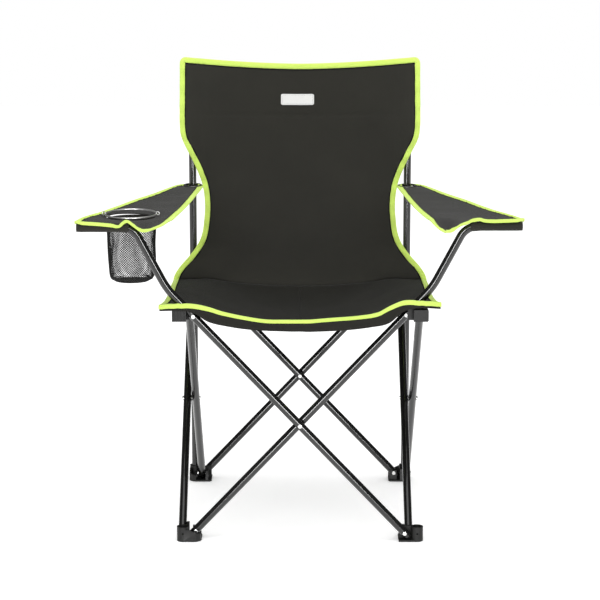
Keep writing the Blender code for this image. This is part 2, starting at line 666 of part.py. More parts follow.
# The first entry whose word is in a piece's name gives its material.
FINISHES = [
    (("rivet", "spacer", "pin"), finish("steel", (0.75, 0.75, 0.76), 0.25, 1)),
    (("grommet",), finish("dark_plating", (0.45, 0.45, 0.46), 0.35, 1)),
    (("cup_ring",), finish("grey_plastic", (0.60, 0.60, 0.60), 0.45, 0)),
    (("cup_pocket",), finish("mesh_cloth", (0.02, 0.02, 0.02), 0.80, 0)),
    (("tube", "back_post"), finish("powder_coat", (0.020, 0.020, 0.022), 0.25, 0)),
    (("foot", "hub", "cap"), finish("black_plastic", (0.030, 0.030, 0.032), 0.50, 0)),
    (("panel", "armrest"), finish("woven_cloth", (0.035, 0.034, 0.030), 0.85, 0)),
]


def set_origin(obj, place):
    """Puts a piece's origin on the axis that it turns about, and leaves its shape where it is."""
    to_local = obj.matrix_world.inverted() @ Vector(place)
    obj.data = obj.data.copy()
    obj.data.transform(Matrix.Translation(-to_local))
    obj.location = place


bpy.context.view_layer.update()
chair = bpy.data.objects.new("chair", None)
bpy.context.scene.collection.objects.link(chair)
AXES = {
    "front_tube_outer": (-PIVOT, -OUTER, HUB_Z),
    "front_tube_inner": (0, -(OUTER + INNER) / 2, MIDDLE_Z),
    "left_tube_outer": (-(OUTER + INNER) / 2, 0, MIDDLE_Z),
    "left_tube_inner": (-INNER, PIVOT, FOOT_Z),
    "rear_tube_outer": (-PIVOT, OUTER, FOOT_Z),
    "rear_tube_inner": (0, (OUTER + INNER) / 2, MIDDLE_Z),
    "right_tube_outer": (OUTER, PIVOT, FOOT_Z),
    "right_tube_inner": ((OUTER + INNER) / 2, 0, MIDDLE_Z),
    "front_left_foot": (-OUTER, -PIVOT, FOOT_Z),
    "front_right_foot": (PIVOT, -OUTER, FOOT_Z),
    "rear_right_foot": (PIVOT, INNER, FOOT_Z),
    "front_left_hub": (-INNER, -PIVOT, HUB_Z),
    "front_right_hub": (PIVOT, -INNER, HUB_Z),
    "rear_left_hub": (-OUTER, PIVOT, HUB_Z),
    "rear_right_hub": (PIVOT, OUTER, HUB_Z),
    "left_armrest": (-CORNER - 0.0890, -OUTER, ARM_Z),
    "right_armrest": (CORNER + 0.0890, -INNER, ARM_Z),
}
for obj in list(bpy.context.scene.collection.objects):
    if obj.type != "MESH":
        continue
    for words, material in FINISHES:
        if any(word in obj.name for word in words):
            break
    obj.data.materials.clear()
    obj.data.materials.append(material)
    obj.data.shade_smooth()
    obj.data.set_sharp_from_angle(angle=radians(35))
    if obj.name in AXES:
        set_origin(obj, AXES[obj.name])
    obj.parent = chair
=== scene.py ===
"""The looks of a folding camp chair: coated tube, moulded joints and cloth bound in lime tape."""

import json
from math import cos, pi, radians, sin, sqrt, tan

import bmesh
import bpy
from mathutils import Matrix, Vector, noise


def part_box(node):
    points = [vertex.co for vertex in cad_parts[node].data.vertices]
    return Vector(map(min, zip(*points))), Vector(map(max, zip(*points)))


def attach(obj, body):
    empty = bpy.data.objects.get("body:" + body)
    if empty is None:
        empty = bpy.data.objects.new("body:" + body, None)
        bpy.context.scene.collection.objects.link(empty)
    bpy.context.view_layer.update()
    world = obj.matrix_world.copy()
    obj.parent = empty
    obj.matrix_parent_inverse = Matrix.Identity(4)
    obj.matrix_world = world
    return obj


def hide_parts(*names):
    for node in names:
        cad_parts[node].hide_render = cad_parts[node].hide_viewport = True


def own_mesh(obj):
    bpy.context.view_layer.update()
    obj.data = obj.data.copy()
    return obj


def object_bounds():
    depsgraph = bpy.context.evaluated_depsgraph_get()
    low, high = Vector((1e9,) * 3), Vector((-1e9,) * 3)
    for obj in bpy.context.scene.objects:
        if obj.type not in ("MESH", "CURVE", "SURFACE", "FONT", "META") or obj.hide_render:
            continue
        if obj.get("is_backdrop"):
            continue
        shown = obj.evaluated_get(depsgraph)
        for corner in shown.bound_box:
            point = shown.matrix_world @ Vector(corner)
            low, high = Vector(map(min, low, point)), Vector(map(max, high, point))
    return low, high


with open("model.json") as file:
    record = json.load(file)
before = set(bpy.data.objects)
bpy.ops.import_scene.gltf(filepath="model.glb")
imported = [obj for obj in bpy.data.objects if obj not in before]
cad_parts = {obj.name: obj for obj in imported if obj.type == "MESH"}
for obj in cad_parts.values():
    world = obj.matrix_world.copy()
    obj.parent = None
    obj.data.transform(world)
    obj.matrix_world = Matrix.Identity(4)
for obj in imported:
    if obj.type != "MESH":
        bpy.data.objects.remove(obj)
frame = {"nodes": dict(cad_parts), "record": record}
cad_low, cad_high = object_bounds()

# ------------------------------------------------------------------ camera
# A long lens a few steps in front of the chair, a little above the seat and tipped down to it.
EYE = (0.0, -3.586, 1.061)
TIPPED_DOWN = radians(10.27)
LENS = 114.0

bpy.ops.object.camera_add(location=EYE, rotation=(pi / 2 - TIPPED_DOWN, 0, 0))
camera = bpy.context.object
camera.name = "studio_camera"
camera.data.lens = LENS
camera.data.sensor_width = 36.0
bpy.context.scene.camera = camera

# ------------------------------------------------------------------ floor and light
# A plain white floor under two large soft lamps and an even white sky, so shadows stay faint. A tall
# bright card stands on each side of the camera, which only polished surfaces show, to draw the tubes.
SKY = 1.0
SKY_IN_GLOSS = 0.08  # what polished surfaces see of the sky


def new_material(name, **sockets):
    """A plain finish whose even values sit on the shader itself."""
    made = bpy.data.materials.new(name)
    made.use_nodes = True
    shader = made.node_tree.nodes["Principled BSDF"]
    for socket, value in sockets.items():
        shader.inputs[socket.replace("_", " ")].default_value = value
    return made


bpy.ops.mesh.primitive_plane_add(size=14, location=(0, 3.0, -0.0004))
floor = bpy.context.object
floor.name = "floor"
floor_white = new_material("floor_white", Base_Color=(1, 1, 1, 1), Roughness=1.0, Specular_IOR_Level=0.0)
floor_white.node_tree.nodes["Principled BSDF"].inputs["Emission Color"].default_value = (1, 1, 1, 1)
floor_white.node_tree.nodes["Principled BSDF"].inputs["Emission Strength"].default_value = 0.2
floor.data.materials.append(floor_white)
floor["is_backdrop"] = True

world = bpy.data.worlds.new("studio")
bpy.context.scene.world = world
world.use_nodes = True
sky = world.node_tree.nodes["Background"]
sky.inputs["Color"].default_value = (1, 1, 1, 1)
rays = world.node_tree.nodes.new("ShaderNodeLightPath")
dim = world.node_tree.nodes.new("ShaderNodeMath")
dim.operation = "MULTIPLY_ADD"
dim.inputs[1].default_value = SKY_IN_GLOSS - SKY
dim.inputs[2].default_value = SKY
world.node_tree.links.new(rays.outputs["Is Glossy Ray"], dim.inputs[0])
world.node_tree.links.new(dim.outputs[0], sky.inputs["Strength"])
bpy.context.scene.view_settings.view_transform = "Standard"

LAMPS = [
    ("lamp_over", (0.0, -0.6, 2.6), 2.2, 24),
    ("lamp_front", (0.0, -3.4, 2.2), 1.6, 24),
]
for name, place, size, watts in LAMPS:
    bpy.ops.object.light_add(type="AREA", location=place)
    lamp = bpy.context.object
    lamp.name = name
    lamp.data.size = size
    lamp.data.energy = watts
    lamp.rotation_euler = (Vector((0, 0, 0.5)) - lamp.location).to_track_quat("-Z", "Y").to_euler()

card_glow = bpy.data.materials.new("card_glow")
card_glow.use_nodes = True
card_glow.node_tree.nodes["Principled BSDF"].inputs["Emission Color"].default_value = (1, 1, 1, 1)
card_glow.node_tree.nodes["Principled BSDF"].inputs["Emission Strength"].default_value = 22.0
for side, sign in (("left", -1), ("right", 1)):
    bpy.ops.mesh.primitive_plane_add(
        size=1, location=(sign * 1.25, -3.9, 1.2), rotation=(pi / 2, 0, sign * 0.31)
    )
    card = bpy.context.object
    card.name = f"card_{side}"
    card.scale = (0.55, 2.3, 1)
    card.data.materials.append(card_glow)
    card.visible_camera = False
    card.visible_diffuse = False
    card.visible_shadow = False
    card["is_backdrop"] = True

# ------------------------------------------------------------------ tubes
# Eight scissor tubes of 15 mm steel and two back posts, cut from thin-walled stock and powder coated
# gloss black. The two front tubes go on past their hubs and bend outwards to carry the armrests.
PIVOT = 0.1925
FOOT_Z = 0.0155
HUB_Z = 0.4212
OUTER = 0.2178
INNER = 0.2012
TUBE = 0.0075
WALL = 0.0011
OVERHANG = 0.009
ROUND = 48  # sides of a tube


class Wire:
    """A socket of a material. Sums on wires add the Math nodes that work them out."""

    def __init__(self, tree, socket):
        self.tree = tree
        self.socket = socket

    def node(self, kind, settings, sockets, output=0):
        """Any other node: its settings are made first, then its sockets are set or linked."""
        made = self.tree.nodes.new("ShaderNode" + kind)
        for name, value in settings.items():
            if name == "stops":
                for stop, (place, colour) in zip(made.color_ramp.elements, value):
                    stop.position = place
                    stop.color = (*colour, 1)
            else:
                setattr(made, name, value)
        for name, value in sockets.items():
            if isinstance(value, Wire):
                self.tree.links.new(value.socket, made.inputs[name])
            else:
                made.inputs[name].default_value = value
        return Wire(self.tree, made.outputs[output])

    def sum(self, operation, first, second=0.0):
        return self.node("Math", {"operation": operation}, {0: first, 1: second})

    def __add__(self, other):
        return self.sum("ADD", self, other)

    __radd__ = __add__

    def __mul__(self, other):
        return self.sum("MULTIPLY", self, other)

    __rmul__ = __mul__

    def __sub__(self, other):
        return self.sum("SUBTRACT", self, other)

    def __rsub__(self, other):
        return self.sum("SUBTRACT", other, self)

    def __abs__(self):
        return self.sum("ABSOLUTE", self)

    def __gt__(self, other):
        return self.sum("GREATER_THAN", self, other)

    def wave(self, pitch):
        """A sine of this length, in metres, from -1 to 1."""
        return self.sum("SINE", self * (2 * pi / pitch))

    def blend(self, first, second):
        """From one colour to another, as this wire goes from 0 to 1."""
        return self.node(
            "Mix", {"data_type": "RGBA"}, {0: self, 6: (*first, 1), 7: (*second, 1)}, output=2
        )

    def noise(self, scale, detail=3.0):
        return self.node("TexNoise", {}, {"Vector": self, "Scale": scale, "Detail": detail})


def finish_wires(material, uv=False):
    """The coordinates of a finish, as a wire, and a function that plugs wires into its shader."""
    tree = material.node_tree
    shader = tree.nodes["Principled BSDF"]
    start = tree.nodes.new("ShaderNodeTexCoord")
    place = Wire(tree, start.outputs["UV" if uv else "Object"])

    def plug(colour=None, roughness=None, bump=None, height=0.0002):
        if colour:
            tree.links.new(colour.socket, shader.inputs["Base Color"])
        if roughness:
            tree.links.new(roughness.socket, shader.inputs["Roughness"])
        if bump:
            raised = place.node("Bump", {}, {"Height": bump, "Distance": height, "Strength": 1.0})
            tree.links.new(raised.socket, shader.inputs["Normal"])

    return place, plug


powder_coat = new_material(
    "powder_coat_black",
    Metallic=0.0,
    Roughness=0.12,
    Specular_IOR_Level=0.5,
    Coat_Weight=0.4,
    Coat_Roughness=0.05,
)
place, plug = finish_wires(powder_coat)
peel = place.noise(900.0, 2.0)
cloud = place.noise(14.0)
plug(
    colour=cloud.blend((0.004, 0.004, 0.004), (0.009, 0.009, 0.0085)),
    roughness=0.09 + cloud * 0.07,
    bump=peel,
    height=0.00001,
)


def deselect():
    bpy.ops.object.select_all(action="DESELECT")


def edit(obj, kind, wanted):
    """Opens an object in edit mode with only the wanted vertices, edges or faces selected."""
    if bpy.context.mode != "OBJECT":
        bpy.ops.object.mode_set(mode="OBJECT")
    deselect()
    obj.select_set(True)
    bpy.context.view_layer.objects.active = obj
    bpy.ops.object.mode_set(mode="EDIT")
    bpy.ops.mesh.select_mode(type=kind)
    bpy.ops.mesh.select_all(action="DESELECT")
    shape = bmesh.from_edit_mesh(obj.data)
    for part in {"VERT": shape.verts, "EDGE": shape.edges, "FACE": shape.faces}[kind]:
        if wanted(part):
            part.select_set(True)
    shape.select_flush_mode()
    bmesh.update_edit_mesh(obj.data)


def done(obj, name, material, smooth=40.0):
    """Back to object mode, with the place in the mesh, the shading set and the finish on."""
    if bpy.context.mode != "OBJECT":
        bpy.ops.object.mode_set(mode="OBJECT")
    deselect()
    obj.select_set(True)
    bpy.context.view_layer.objects.active = obj
    bpy.ops.object.transform_apply(location=True, rotation=True, scale=True)
    bpy.ops.object.shade_smooth_by_angle(angle=radians(smooth))
    obj.name = name
    obj.data.name = name
    if material:
        obj.data.materials.clear()
        obj.data.materials.append(material)
    return obj


def open_ends(tube, along, low, high):
    """Cuts the bore into the flat ends of a tube, and breaks the sharp rims."""
    def at_end(face):
        far = along.dot(face.calc_center_median())
        flat = abs(abs(face.normal.dot(along)) - 1) < 1e-3
        return flat and (abs(far - low) < 1e-4 or abs(far - high) < 1e-4)

    edit(tube, "FACE", at_end)
    bpy.ops.mesh.inset(thickness=0.00025, depth=0.0)
    bpy.ops.mesh.inset(thickness=WALL - 0.00035, depth=0.0002)
    bpy.ops.mesh.inset(thickness=0.0001, depth=-0.0006)
    bpy.ops.mesh.extrude_region_shrink_fatten(TRANSFORM_OT_shrink_fatten={"value": -0.022})


def straight_tube(name, start, end, body, node):
    start, end = Vector(start), Vector(end)
    way = (end - start).normalized()
    bpy.ops.mesh.primitive_cylinder_add(
        vertices=ROUND,
        radius=TUBE,
        depth=(end - start).length,
        location=(start + end) / 2,
        rotation=way.to_track_quat("Z", "Y").to_euler(),
    )
    tube = done(bpy.context.object, name, powder_coat, 50.0)
    open_ends(tube, way, way.dot(start), way.dot(end))
    done(tube, name, powder_coat, 50.0)
    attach(tube, body)
    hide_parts(node)
    return tube


rise = HUB_Z - FOOT_Z
TILT = Vector((2 * PIVOT, 0, rise)).normalized()
QUARTERS = {"front": 0, "right": 1, "rear": 2, "left": 3}
for side in ("right", "rear", "left"):
    turn = Matrix.Rotation(QUARTERS[side] * pi / 2, 4, "Z")
    for layer, plane, mirror in (("outer", -OUTER, 1), ("inner", -INNER, -1)):
        way = Vector((-mirror * TILT.x, 0, TILT.z))
        low = Vector((mirror * PIVOT, plane, FOOT_Z)) - OVERHANG * way
        high = Vector((-mirror * PIVOT, plane, HUB_Z)) + OVERHANG * way
        straight_tube(
            f"{side}_leg_{layer}", turn @ low, turn @ high, f"{side}_tube_{layer}", f"{side}_tube_{layer}"
        )

SLOPE = radians(62)
LEAN = Vector((TILT.x, TILT.z)).angle(Vector((1, 0)))
FIRST_BEND = 0.14
LAST_BEND = 0.036
PAST_HUB = 0.068  # straight tube between a hub rivet and the corner of its first bend
ARM_Z = 0.5825
ARM_END = 0.393


def arm_tube(name, plane, mirror, body, node):
    """A ring of tube is drawn out, bent round twice and drawn out level."""
    ways = [Vector((-mirror * cos(a), 0, sin(a))) for a in (LEAN, SLOPE, 0)]
    foot = Vector((mirror * PIVOT, plane, FOOT_Z)) - OVERHANG * ways[0]
    knee = Vector((-mirror * PIVOT, plane, HUB_Z)) + PAST_HUB * ways[0]
    elbow = knee + ways[1] * (ARM_Z - knee.z) / sin(SLOPE)
    tip = Vector((-mirror * ARM_END, plane, ARM_Z))
    trims = [FIRST_BEND * tan((SLOPE - LEAN) / 2), LAST_BEND * tan(SLOPE / 2)]
    bpy.ops.mesh.primitive_circle_add(
        vertices=ROUND,
        radius=TUBE,
        fill_type="NGON",
        location=foot,
        rotation=ways[0].to_track_quat("Z", "Y").to_euler(),
    )
    tube = done(bpy.context.object, name, powder_coat)
    edit(tube, "FACE", lambda face: True)
    runs = [
        (knee - foot).length - trims[0],
        (elbow - knee).length - trims[0] - trims[1],
        (tip - elbow).length - trims[1],
    ]
    at = foot
    for i, (way, run) in enumerate(zip(ways, runs)):
        bpy.ops.mesh.extrude_region_move(TRANSFORM_OT_translate={"value": way * run})
        at = at + way * run
        if i == 2:
            break
        turn = way.cross(ways[i + 1]).y
        inside = Vector((0, 1 if turn > 0 else -1, 0)).cross(way)
        bend = (FIRST_BEND, LAST_BEND)[i]
        centre = at + inside * bend
        angle = way.angle(ways[i + 1])
        bpy.ops.mesh.spin(
            steps=(6, 20)[i],
            angle=-angle,
            center=centre,
            axis=(0, 1 if turn > 0 else -1, 0),
            use_auto_merge=False,
        )
        at = centre + Matrix.Rotation(angle, 3, (0, 1 if turn > 0 else -1, 0)) @ (at - centre)
    bpy.ops.mesh.select_all(action="SELECT")
    bpy.ops.mesh.remove_doubles(threshold=1e-5)
    bpy.ops.mesh.normals_make_consistent(inside=False)
    done(tube, name, powder_coat, 50.0)
    open_ends(tube, ways[0], ways[0].dot(foot), 99.0)
    open_ends(tube, ways[2], ways[2].dot(tip), 99.0)
    done(tube, name, powder_coat, 50.0)
    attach(tube, body)
    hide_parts(node)


arm_tube("front_leg_outer", -OUTER, 1, "front_tube_outer", "front_tube_outer")
arm_tube("front_leg_inner", -INNER, -1, "front_tube_inner", "front_tube_inner")

POST = 0.2155
POST_FOOT = 0.0035
POST_TOP = 0.851
for side, sign in (("left", -1), ("right", 1)):
    body = f"rear_{side}_base"
    straight_tube(
        f"{side}_post",
        (sign * POST, POST, POST_FOOT),
        (sign * POST, POST, POST_TOP),
        body,
        f"{side}_back_post",
    )

# ------------------------------------------------------------------ rivets
# Plated steel rivets join every crossing. A turned head has a low dome, and the far end is upset flat
# inside the moulding or against the second tube.
HEAD = 0.0042
DOME = 0.0026
SHANK = 0.0025
plated = new_material("rivet_zinc", Metallic=1.0, Roughness=0.24, Base_Color=(0.78, 0.78, 0.77, 1))
place, plug = finish_wires(plated)
worn = place.noise(420.0)
plug(
    colour=worn.blend((0.66, 0.66, 0.65), (0.86, 0.86, 0.85)), roughness=0.16 + worn * 0.2,
    bump=place.noise(1500.0), height=0.00003,
)


def rivet_master(grip):
    """Head down at -Z = 0 with the shank going up the +Z side for the grip, then the tail."""
    bpy.ops.mesh.primitive_cylinder_add(vertices=24, radius=HEAD, depth=DOME, location=(0, 0, -DOME / 2))
    rivet = done(bpy.context.object, "rivet_master", plated)
    edit(rivet, "EDGE", lambda edge: all(v.co.z < -DOME + 1e-5 for v in edge.verts))
    bpy.ops.mesh.bevel(offset=0.0023, offset_type="OFFSET", segments=5, profile=0.62, affect="EDGES")
    done(rivet, "rivet_master", plated)
    edit(rivet, "FACE", lambda face: face.normal.z > 0.99)
    bpy.ops.mesh.inset(thickness=HEAD - SHANK, depth=0.0)
    bpy.ops.mesh.extrude_region_move(TRANSFORM_OT_translate={"value": (0, 0, grip)})
    bpy.ops.mesh.extrude_region_move(TRANSFORM_OT_translate={"value": (0, 0, 0)})
    bpy.ops.transform.resize(value=(1.5, 1.5, 1), center_override=(0, 0, 0))
    bpy.ops.mesh.extrude_region_move(TRANSFORM_OT_translate={"value": (0, 0, 0.0015)})
    bpy.ops.mesh.bevel(offset=0.0004, segments=2, affect="EDGES")
    return done(rivet, "rivet_master", plated)


def facing_out(node):
    """The axis and the outermost point of a rivet, read from its box."""
    low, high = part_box(node)
    size = high - low
    middle = (low + high) / 2
    axis = 0 if size.x > size.y else 1
    sign = 1 if middle[axis] > 0 else -1
    tip = middle.copy()
    tip[axis] = high[axis] if sign > 0 else low[axis]
    out = Vector((0, 0, 0))
    out[axis] = sign
    return tip, out


masters = {"middle": rivet_master(0.0315), "end": rivet_master(0.0184)}
body_of = {node: body for body, nodes in frame["record"]["behaviour"]["bodies"].items() for node in nodes}
for node, body in sorted(body_of.items()):
    if "rivet" not in node:
        continue
    tip, out = facing_out(node)
    master = masters["middle" if "middle" in node else "end"]
    rivet = master.copy()
    rivet.data = master.data.copy()
    bpy.context.scene.collection.objects.link(rivet)
    rivet.location = tip - out * DOME
    rivet.rotation_euler = (-out).to_track_quat("Z", "Y").to_euler()
    done(rivet, node + "_dome", plated)
    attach(rivet, body)
    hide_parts(node)
for master in masters.values():
    bpy.data.objects.remove(master)

# ------------------------------------------------------------------ moulded joints
# Feet, hubs, caps, spacers and pins. The feet and hubs are injected black plastic with ribs and soft
# edges, so each is taken from its solid, cleaned to its real faces, and its edges are rounded.
moulded_black = new_material("moulding_black", Roughness=0.42, Specular_IOR_Level=0.32)
place, plug = finish_wires(moulded_black)
grain = place.noise(2600.0, 2.0)
flow = place.noise(60.0)
plug(
    colour=flow.blend((0.006, 0.006, 0.0055), (0.012, 0.012, 0.011)),
    roughness=0.36 + flow * 0.16,
    bump=grain,
    height=0.00004,
)


def moulding(node, rounding):
    """A copy of a moulded solid, cleaned to its real faces, with its edges rounded."""
    master = frame["nodes"][node]
    piece = bpy.data.objects.new(node + "_moulded", master.data.copy())
    bpy.context.scene.collection.objects.link(piece)
    edit(piece, "VERT", lambda vert: True)
    bpy.ops.mesh.remove_doubles(threshold=2e-5)
    bpy.ops.mesh.dissolve_limited(angle_limit=radians(1.5))
    done(piece, node + "_moulded", moulded_black)
    if rounding:
        bevel = piece.modifiers.new("rounding", "BEVEL")
        bevel.width = rounding
        bevel.segments = 3
        bevel.limit_method = "ANGLE"
        bevel.angle_limit = radians(38)
        bevel.harden_normals = False
        bpy.ops.object.modifier_apply(modifier="rounding")
    return piece


def add_to(piece, others):
    deselect()
    for other in others:
        other.select_set(True)
    piece.select_set(True)
    bpy.context.view_layer.objects.active = piece
    bpy.ops.object.join()


def block(place, size, rounding):
    """A small moulded bar with round edges, at its size and place."""
    bpy.ops.mesh.primitive_cube_add(size=1, location=place, scale=size)
    made = done(bpy.context.object, "block", moulded_black)
    edit(made, "EDGE", lambda edge: True)
    bpy.ops.mesh.bevel(offset=rounding, segments=2, affect="EDGES")
    return done(made, "block", moulded_black)


CORNERS = {"front_left": 0, "front_right": 1, "rear_right": 2, "rear_left": 3}
for corner, turns in CORNERS.items():
    for kind in ("foot", "hub"):
        node = f"{corner}_{kind}"
        piece = moulding(node, 0.0004)
        if kind == "hub":
            ribs = []
            for far in (0.2085, 0.2137, 0.2189, 0.2241, 0.2286):
                rib = block((-far, -0.2306, HUB_Z + 0.0024), (0.0022, 0.0022, 0.0186), 0.0005)
                rib.data.transform(Matrix.Rotation(turns * pi / 2, 4, "Z"))
                ribs.append(rib)
            add_to(piece, ribs)
        done(piece, node + "_moulded", moulded_black, 35.0)
        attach(piece, body_of[node])
        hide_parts(node)
for node in ("left_post_cap", "right_post_cap", "left_arm_cap", "right_arm_cap"):
    piece = moulding(node, 0.0)
    done(piece, node + "_moulded", moulded_black, 35.0)
    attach(piece, body_of[node])
    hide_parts(node)
for side in QUARTERS:
    spacer = frame["nodes"][side + "_middle_spacer"]
    spacer.data.materials.clear()
    spacer.data.materials.append(moulded_black)
for side in ("left", "right"):
    pin = frame["nodes"][side + "_post_pin"]
    pin.data.materials.clear()
    pin.data.materials.append(plated)

# ------------------------------------------------------------------ back cloth
# One panel of black polyester hangs from the posts to the seat and narrows at the waist. It is
# hemmed all round in lime tape, whose inner strip is a darker black of painted shadow, and the tape is
# sewn down in one row.
WAIST = [
    (0.409, 0.2545), (0.426, 0.2510), (0.442, 0.2415), (0.465, 0.2215), (0.488, 0.2045),
    (0.510, 0.1955), (0.535, 0.1915), (0.568, 0.1893), (0.605, 0.1930), (0.636, 0.2030),
    (0.672, 0.2200), (0.697, 0.2325), (0.714, 0.2372), (0.740, 0.2385), (0.785, 0.2378),
    (0.870, 0.2365),
]
REAR_EDGE = [
    (0, 0.4090), (0.06, 0.4100), (0.10, 0.4125), (0.14, 0.4160), (0.165, 0.4200), (0.185, 0.4225),
    (0.260, 0.4200),
]
BACK_LOW = 0.4185
BACK_HIGH = 0.8625
SEAM_Y = 0.1762  # where the back is sewn to the seat
CORNER_ROUNDING = 0.011
TOP_DIP = 0.0135
HEADER = 0.751
SLEEVE = 0.189  # the seam of each post's sleeve
CLOTH = 0.0012

cloth_black = new_material(
    "cloth_black", Roughness=0.86, Sheen_Weight=0.12, Sheen_Roughness=0.45, Specular_IOR_Level=0.25
)
tape_lime = new_material(
    "tape_lime", Roughness=0.62, Sheen_Weight=0.15, Sheen_Roughness=0.5, Specular_IOR_Level=0.3
)
# A darker black for the inner strip of every tape: painted shadow where the tape meets the cloth.
tape_black = new_material("tape_black", Roughness=0.8, Specular_IOR_Level=0.2)
thread_black = new_material("thread_black", Roughness=0.6, Specular_IOR_Level=0.3)
thread_lime = new_material("thread_lime", Roughness=0.55, Specular_IOR_Level=0.4)


def weave(material, dark, light, pitch, height):
    """Plain weave: warp over weft in one square of the board and weft over warp in the next."""
    place, plug = finish_wires(material, uv=True)
    across = place.node("SeparateXYZ", {}, {"Vector": place}, output=0).wave(2 * pitch)
    along = place.node("SeparateXYZ", {}, {"Vector": place}, output=1).wave(2 * pitch)
    over = across * along > 0.0
    thread = over * abs(across) + (1 - over) * abs(along)
    cloud = place.noise(9.0, 4.0)
    slub = place.noise(260.0, 2.0)
    tone = 0.45 * cloud + 0.3 * slub + 0.25 * thread
    plug(
        colour=tone.blend(dark, light), roughness=0.74 + 0.2 * slub, bump=thread + 0.6 * slub, height=height
    )


weave(cloth_black, (0.0085, 0.0081, 0.0055), (0.0255, 0.0243, 0.0172), 0.00055, 0.00012)
# The seat is the same fabric as the back. This darker copy of its cloth is painted shade, which keeps the
# seat, facing up to the lamps, as dark as the back.
cloth_seat = new_material(
    "cloth_seat", Roughness=0.88, Sheen_Weight=0.06, Sheen_Roughness=0.45, Specular_IOR_Level=0.2
)
weave(cloth_seat, (0.0060, 0.0057, 0.0041), (0.0175, 0.0167, 0.0122), 0.00055, 0.00012)
weave(tape_lime, (0.42, 0.62, 0.065), (0.74, 0.95, 0.20), 0.0007, 0.00016)
weave(tape_black, (0.003, 0.003, 0.003), (0.007, 0.007, 0.007), 0.0007, 0.0001)
for thread, dark, light in (
    (thread_black, (0.006, 0.006, 0.006), (0.016, 0.016, 0.015)),
    (thread_lime, (0.30, 0.46, 0.04), (0.52, 0.72, 0.10)),
):
    place, plug = finish_wires(thread)
    ply = place.noise(2400.0, 2.0)
    plug(colour=ply.blend(dark, light), roughness=0.5 + 0.2 * ply, bump=ply, height=0.00005)


def through(points, at):
    """The height, at a place, of a smooth line through points of (place, height)."""
    places = [p for p, _ in points]
    heights = [h for _, h in points]
    last = len(points) - 1
    at = min(max(at, places[0]), places[last])
    k = max(i for i in range(last) if places[i] <= at)

    def slope(i):
        a, b = max(i - 1, 0), min(i + 1, last)
        return (heights[b] - heights[a]) / (places[b] - places[a])

    span = places[k + 1] - places[k]
    t = (at - places[k]) / span
    return (
        heights[k] * (1 + 2 * t) * (1 - t) ** 2
        + heights[k + 1] * t * t * (3 - 2 * t)
        + slope(k) * span * t * (1 - t) ** 2
        - slope(k + 1) * span * t * t * (1 - t)
    )


def ease(low, high, at):
    """From 0 to 1 between two places, smoothly."""
    t = min(max((at - low) / (high - low), 0.0), 1.0)
    return t * t * (3 - 2 * t)


def rumple(x, z, size, seed):
    """Soft unevenness from about -1 to 1, of creases this size."""
    return noise.noise(Vector((x / size, z / size, seed)))


def thicken(cloth, thickness, offset=0):
    """Gives a sheet its thickness, to both sides of it, or all to its inside at an offset of -1."""
    wall = cloth.modifiers.new("thickness", "SOLIDIFY")
    wall.thickness = thickness
    wall.offset = offset
    bpy.ops.object.modifier_apply(modifier="thickness")


def sheet(name, columns, rows, where, material, thickness=CLOTH, closed=False):
    """A flat grid of cloth, each corner of its weave put where it lies, then given its thickness."""
    bpy.ops.mesh.primitive_grid_add(x_subdivisions=columns, y_subdivisions=rows, size=2)
    cloth = bpy.context.object
    for vert in cloth.data.vertices:
        vert.co = where((vert.co.x + 1) / 2, (vert.co.y + 1) / 2)
    if closed:
        edit(cloth, "VERT", lambda vert: True)
        bpy.ops.mesh.remove_doubles(threshold=1e-6)
        bpy.ops.mesh.normals_make_consistent(inside=False)
    done(cloth, name, material, 60.0)
    if thickness:
        thicken(cloth, thickness)
    return cloth


def lay_weave(cloth, first, second):
    """Sets the weave's own measure of the cloth, in metres, from two coordinates of each point."""
    layer = cloth.data.uv_layers.active or cloth.data.uv_layers.new(name="UVMap")
    for corner in cloth.data.loops:
        place = cloth.data.vertices[corner.vertex_index].co
        layer.data[corner.index].uv = (place[first], place[second])


def back_at(across, up):
    """The back's surface: across from -1 to 1, up from 0 at the seat to 1 at the top."""
    z = BACK_LOW + (BACK_HIGH - BACK_LOW) * (1 - (1 - up) ** 1.3)
    half = through(WAIST, z)
    over = z - (BACK_HIGH - CORNER_ROUNDING)
    if over > 0:
        half -= CORNER_ROUNDING - sqrt(max(CORNER_ROUNDING ** 2 - over ** 2, 0.0))
    x = across * half
    near_middle = max(0.0, 1 - (abs(x) / 0.19) ** 2)
    at_edge = through(
        [
            (0.4185, SEAM_Y), (0.4300, 0.1790), (0.4480, 0.1890), (0.4660, 0.1980), (0.4900, 0.2035),
            (0.87, 0.2040),
        ],
        z,
    )
    in_middle = through(
        [(0.4185, SEAM_Y), (0.4280, 0.1895), (0.4460, 0.1990), (0.4750, 0.2040), (0.87, 0.2040)], z
    )
    corner = ease(0.11, 0.175, abs(x))
    y = in_middle + (at_edge - in_middle) * corner
    y += 0.026 * near_middle * sin(pi * min(1.0, max(0.0, (z - 0.43) / 0.43)))
    y -= 0.0028 * ease(0.66, 0.72, z) * max(0.0, 1 - ((abs(x) - POST) / 0.016) ** 2)
    from_edge = half - abs(x)
    pucker = 0.0011 * sin(z * 2 * pi / 0.034 + 3 * rumple(x, z, 0.05, 3.0))
    pucker *= max(0.0, 1 - from_edge / 0.030) ** 2
    y += 0.0012 * rumple(x, z, 0.055, 1.0) + pucker * ease(0.43, 0.46, z)
    y += 0.0009 * max(0.0, 1 - abs(z - HEADER) / 0.006) * ease(0.0, 0.02, SLEEVE + 0.01 - abs(x))
    if z > HEADER:
        y += 0.0009 * max(0.0, 1 - abs(abs(x) - SLEEVE) / 0.004)
    z -= TOP_DIP * max(0.0, 1 - (abs(x) / 0.232) ** 1.7) * max(0.0, (z - 0.70) / (BACK_HIGH - 0.70))
    z += (through(REAR_EDGE, abs(x)) - BACK_LOW) * (1 - ease(BACK_LOW, 0.47, z))
    return Vector((x, y, z))


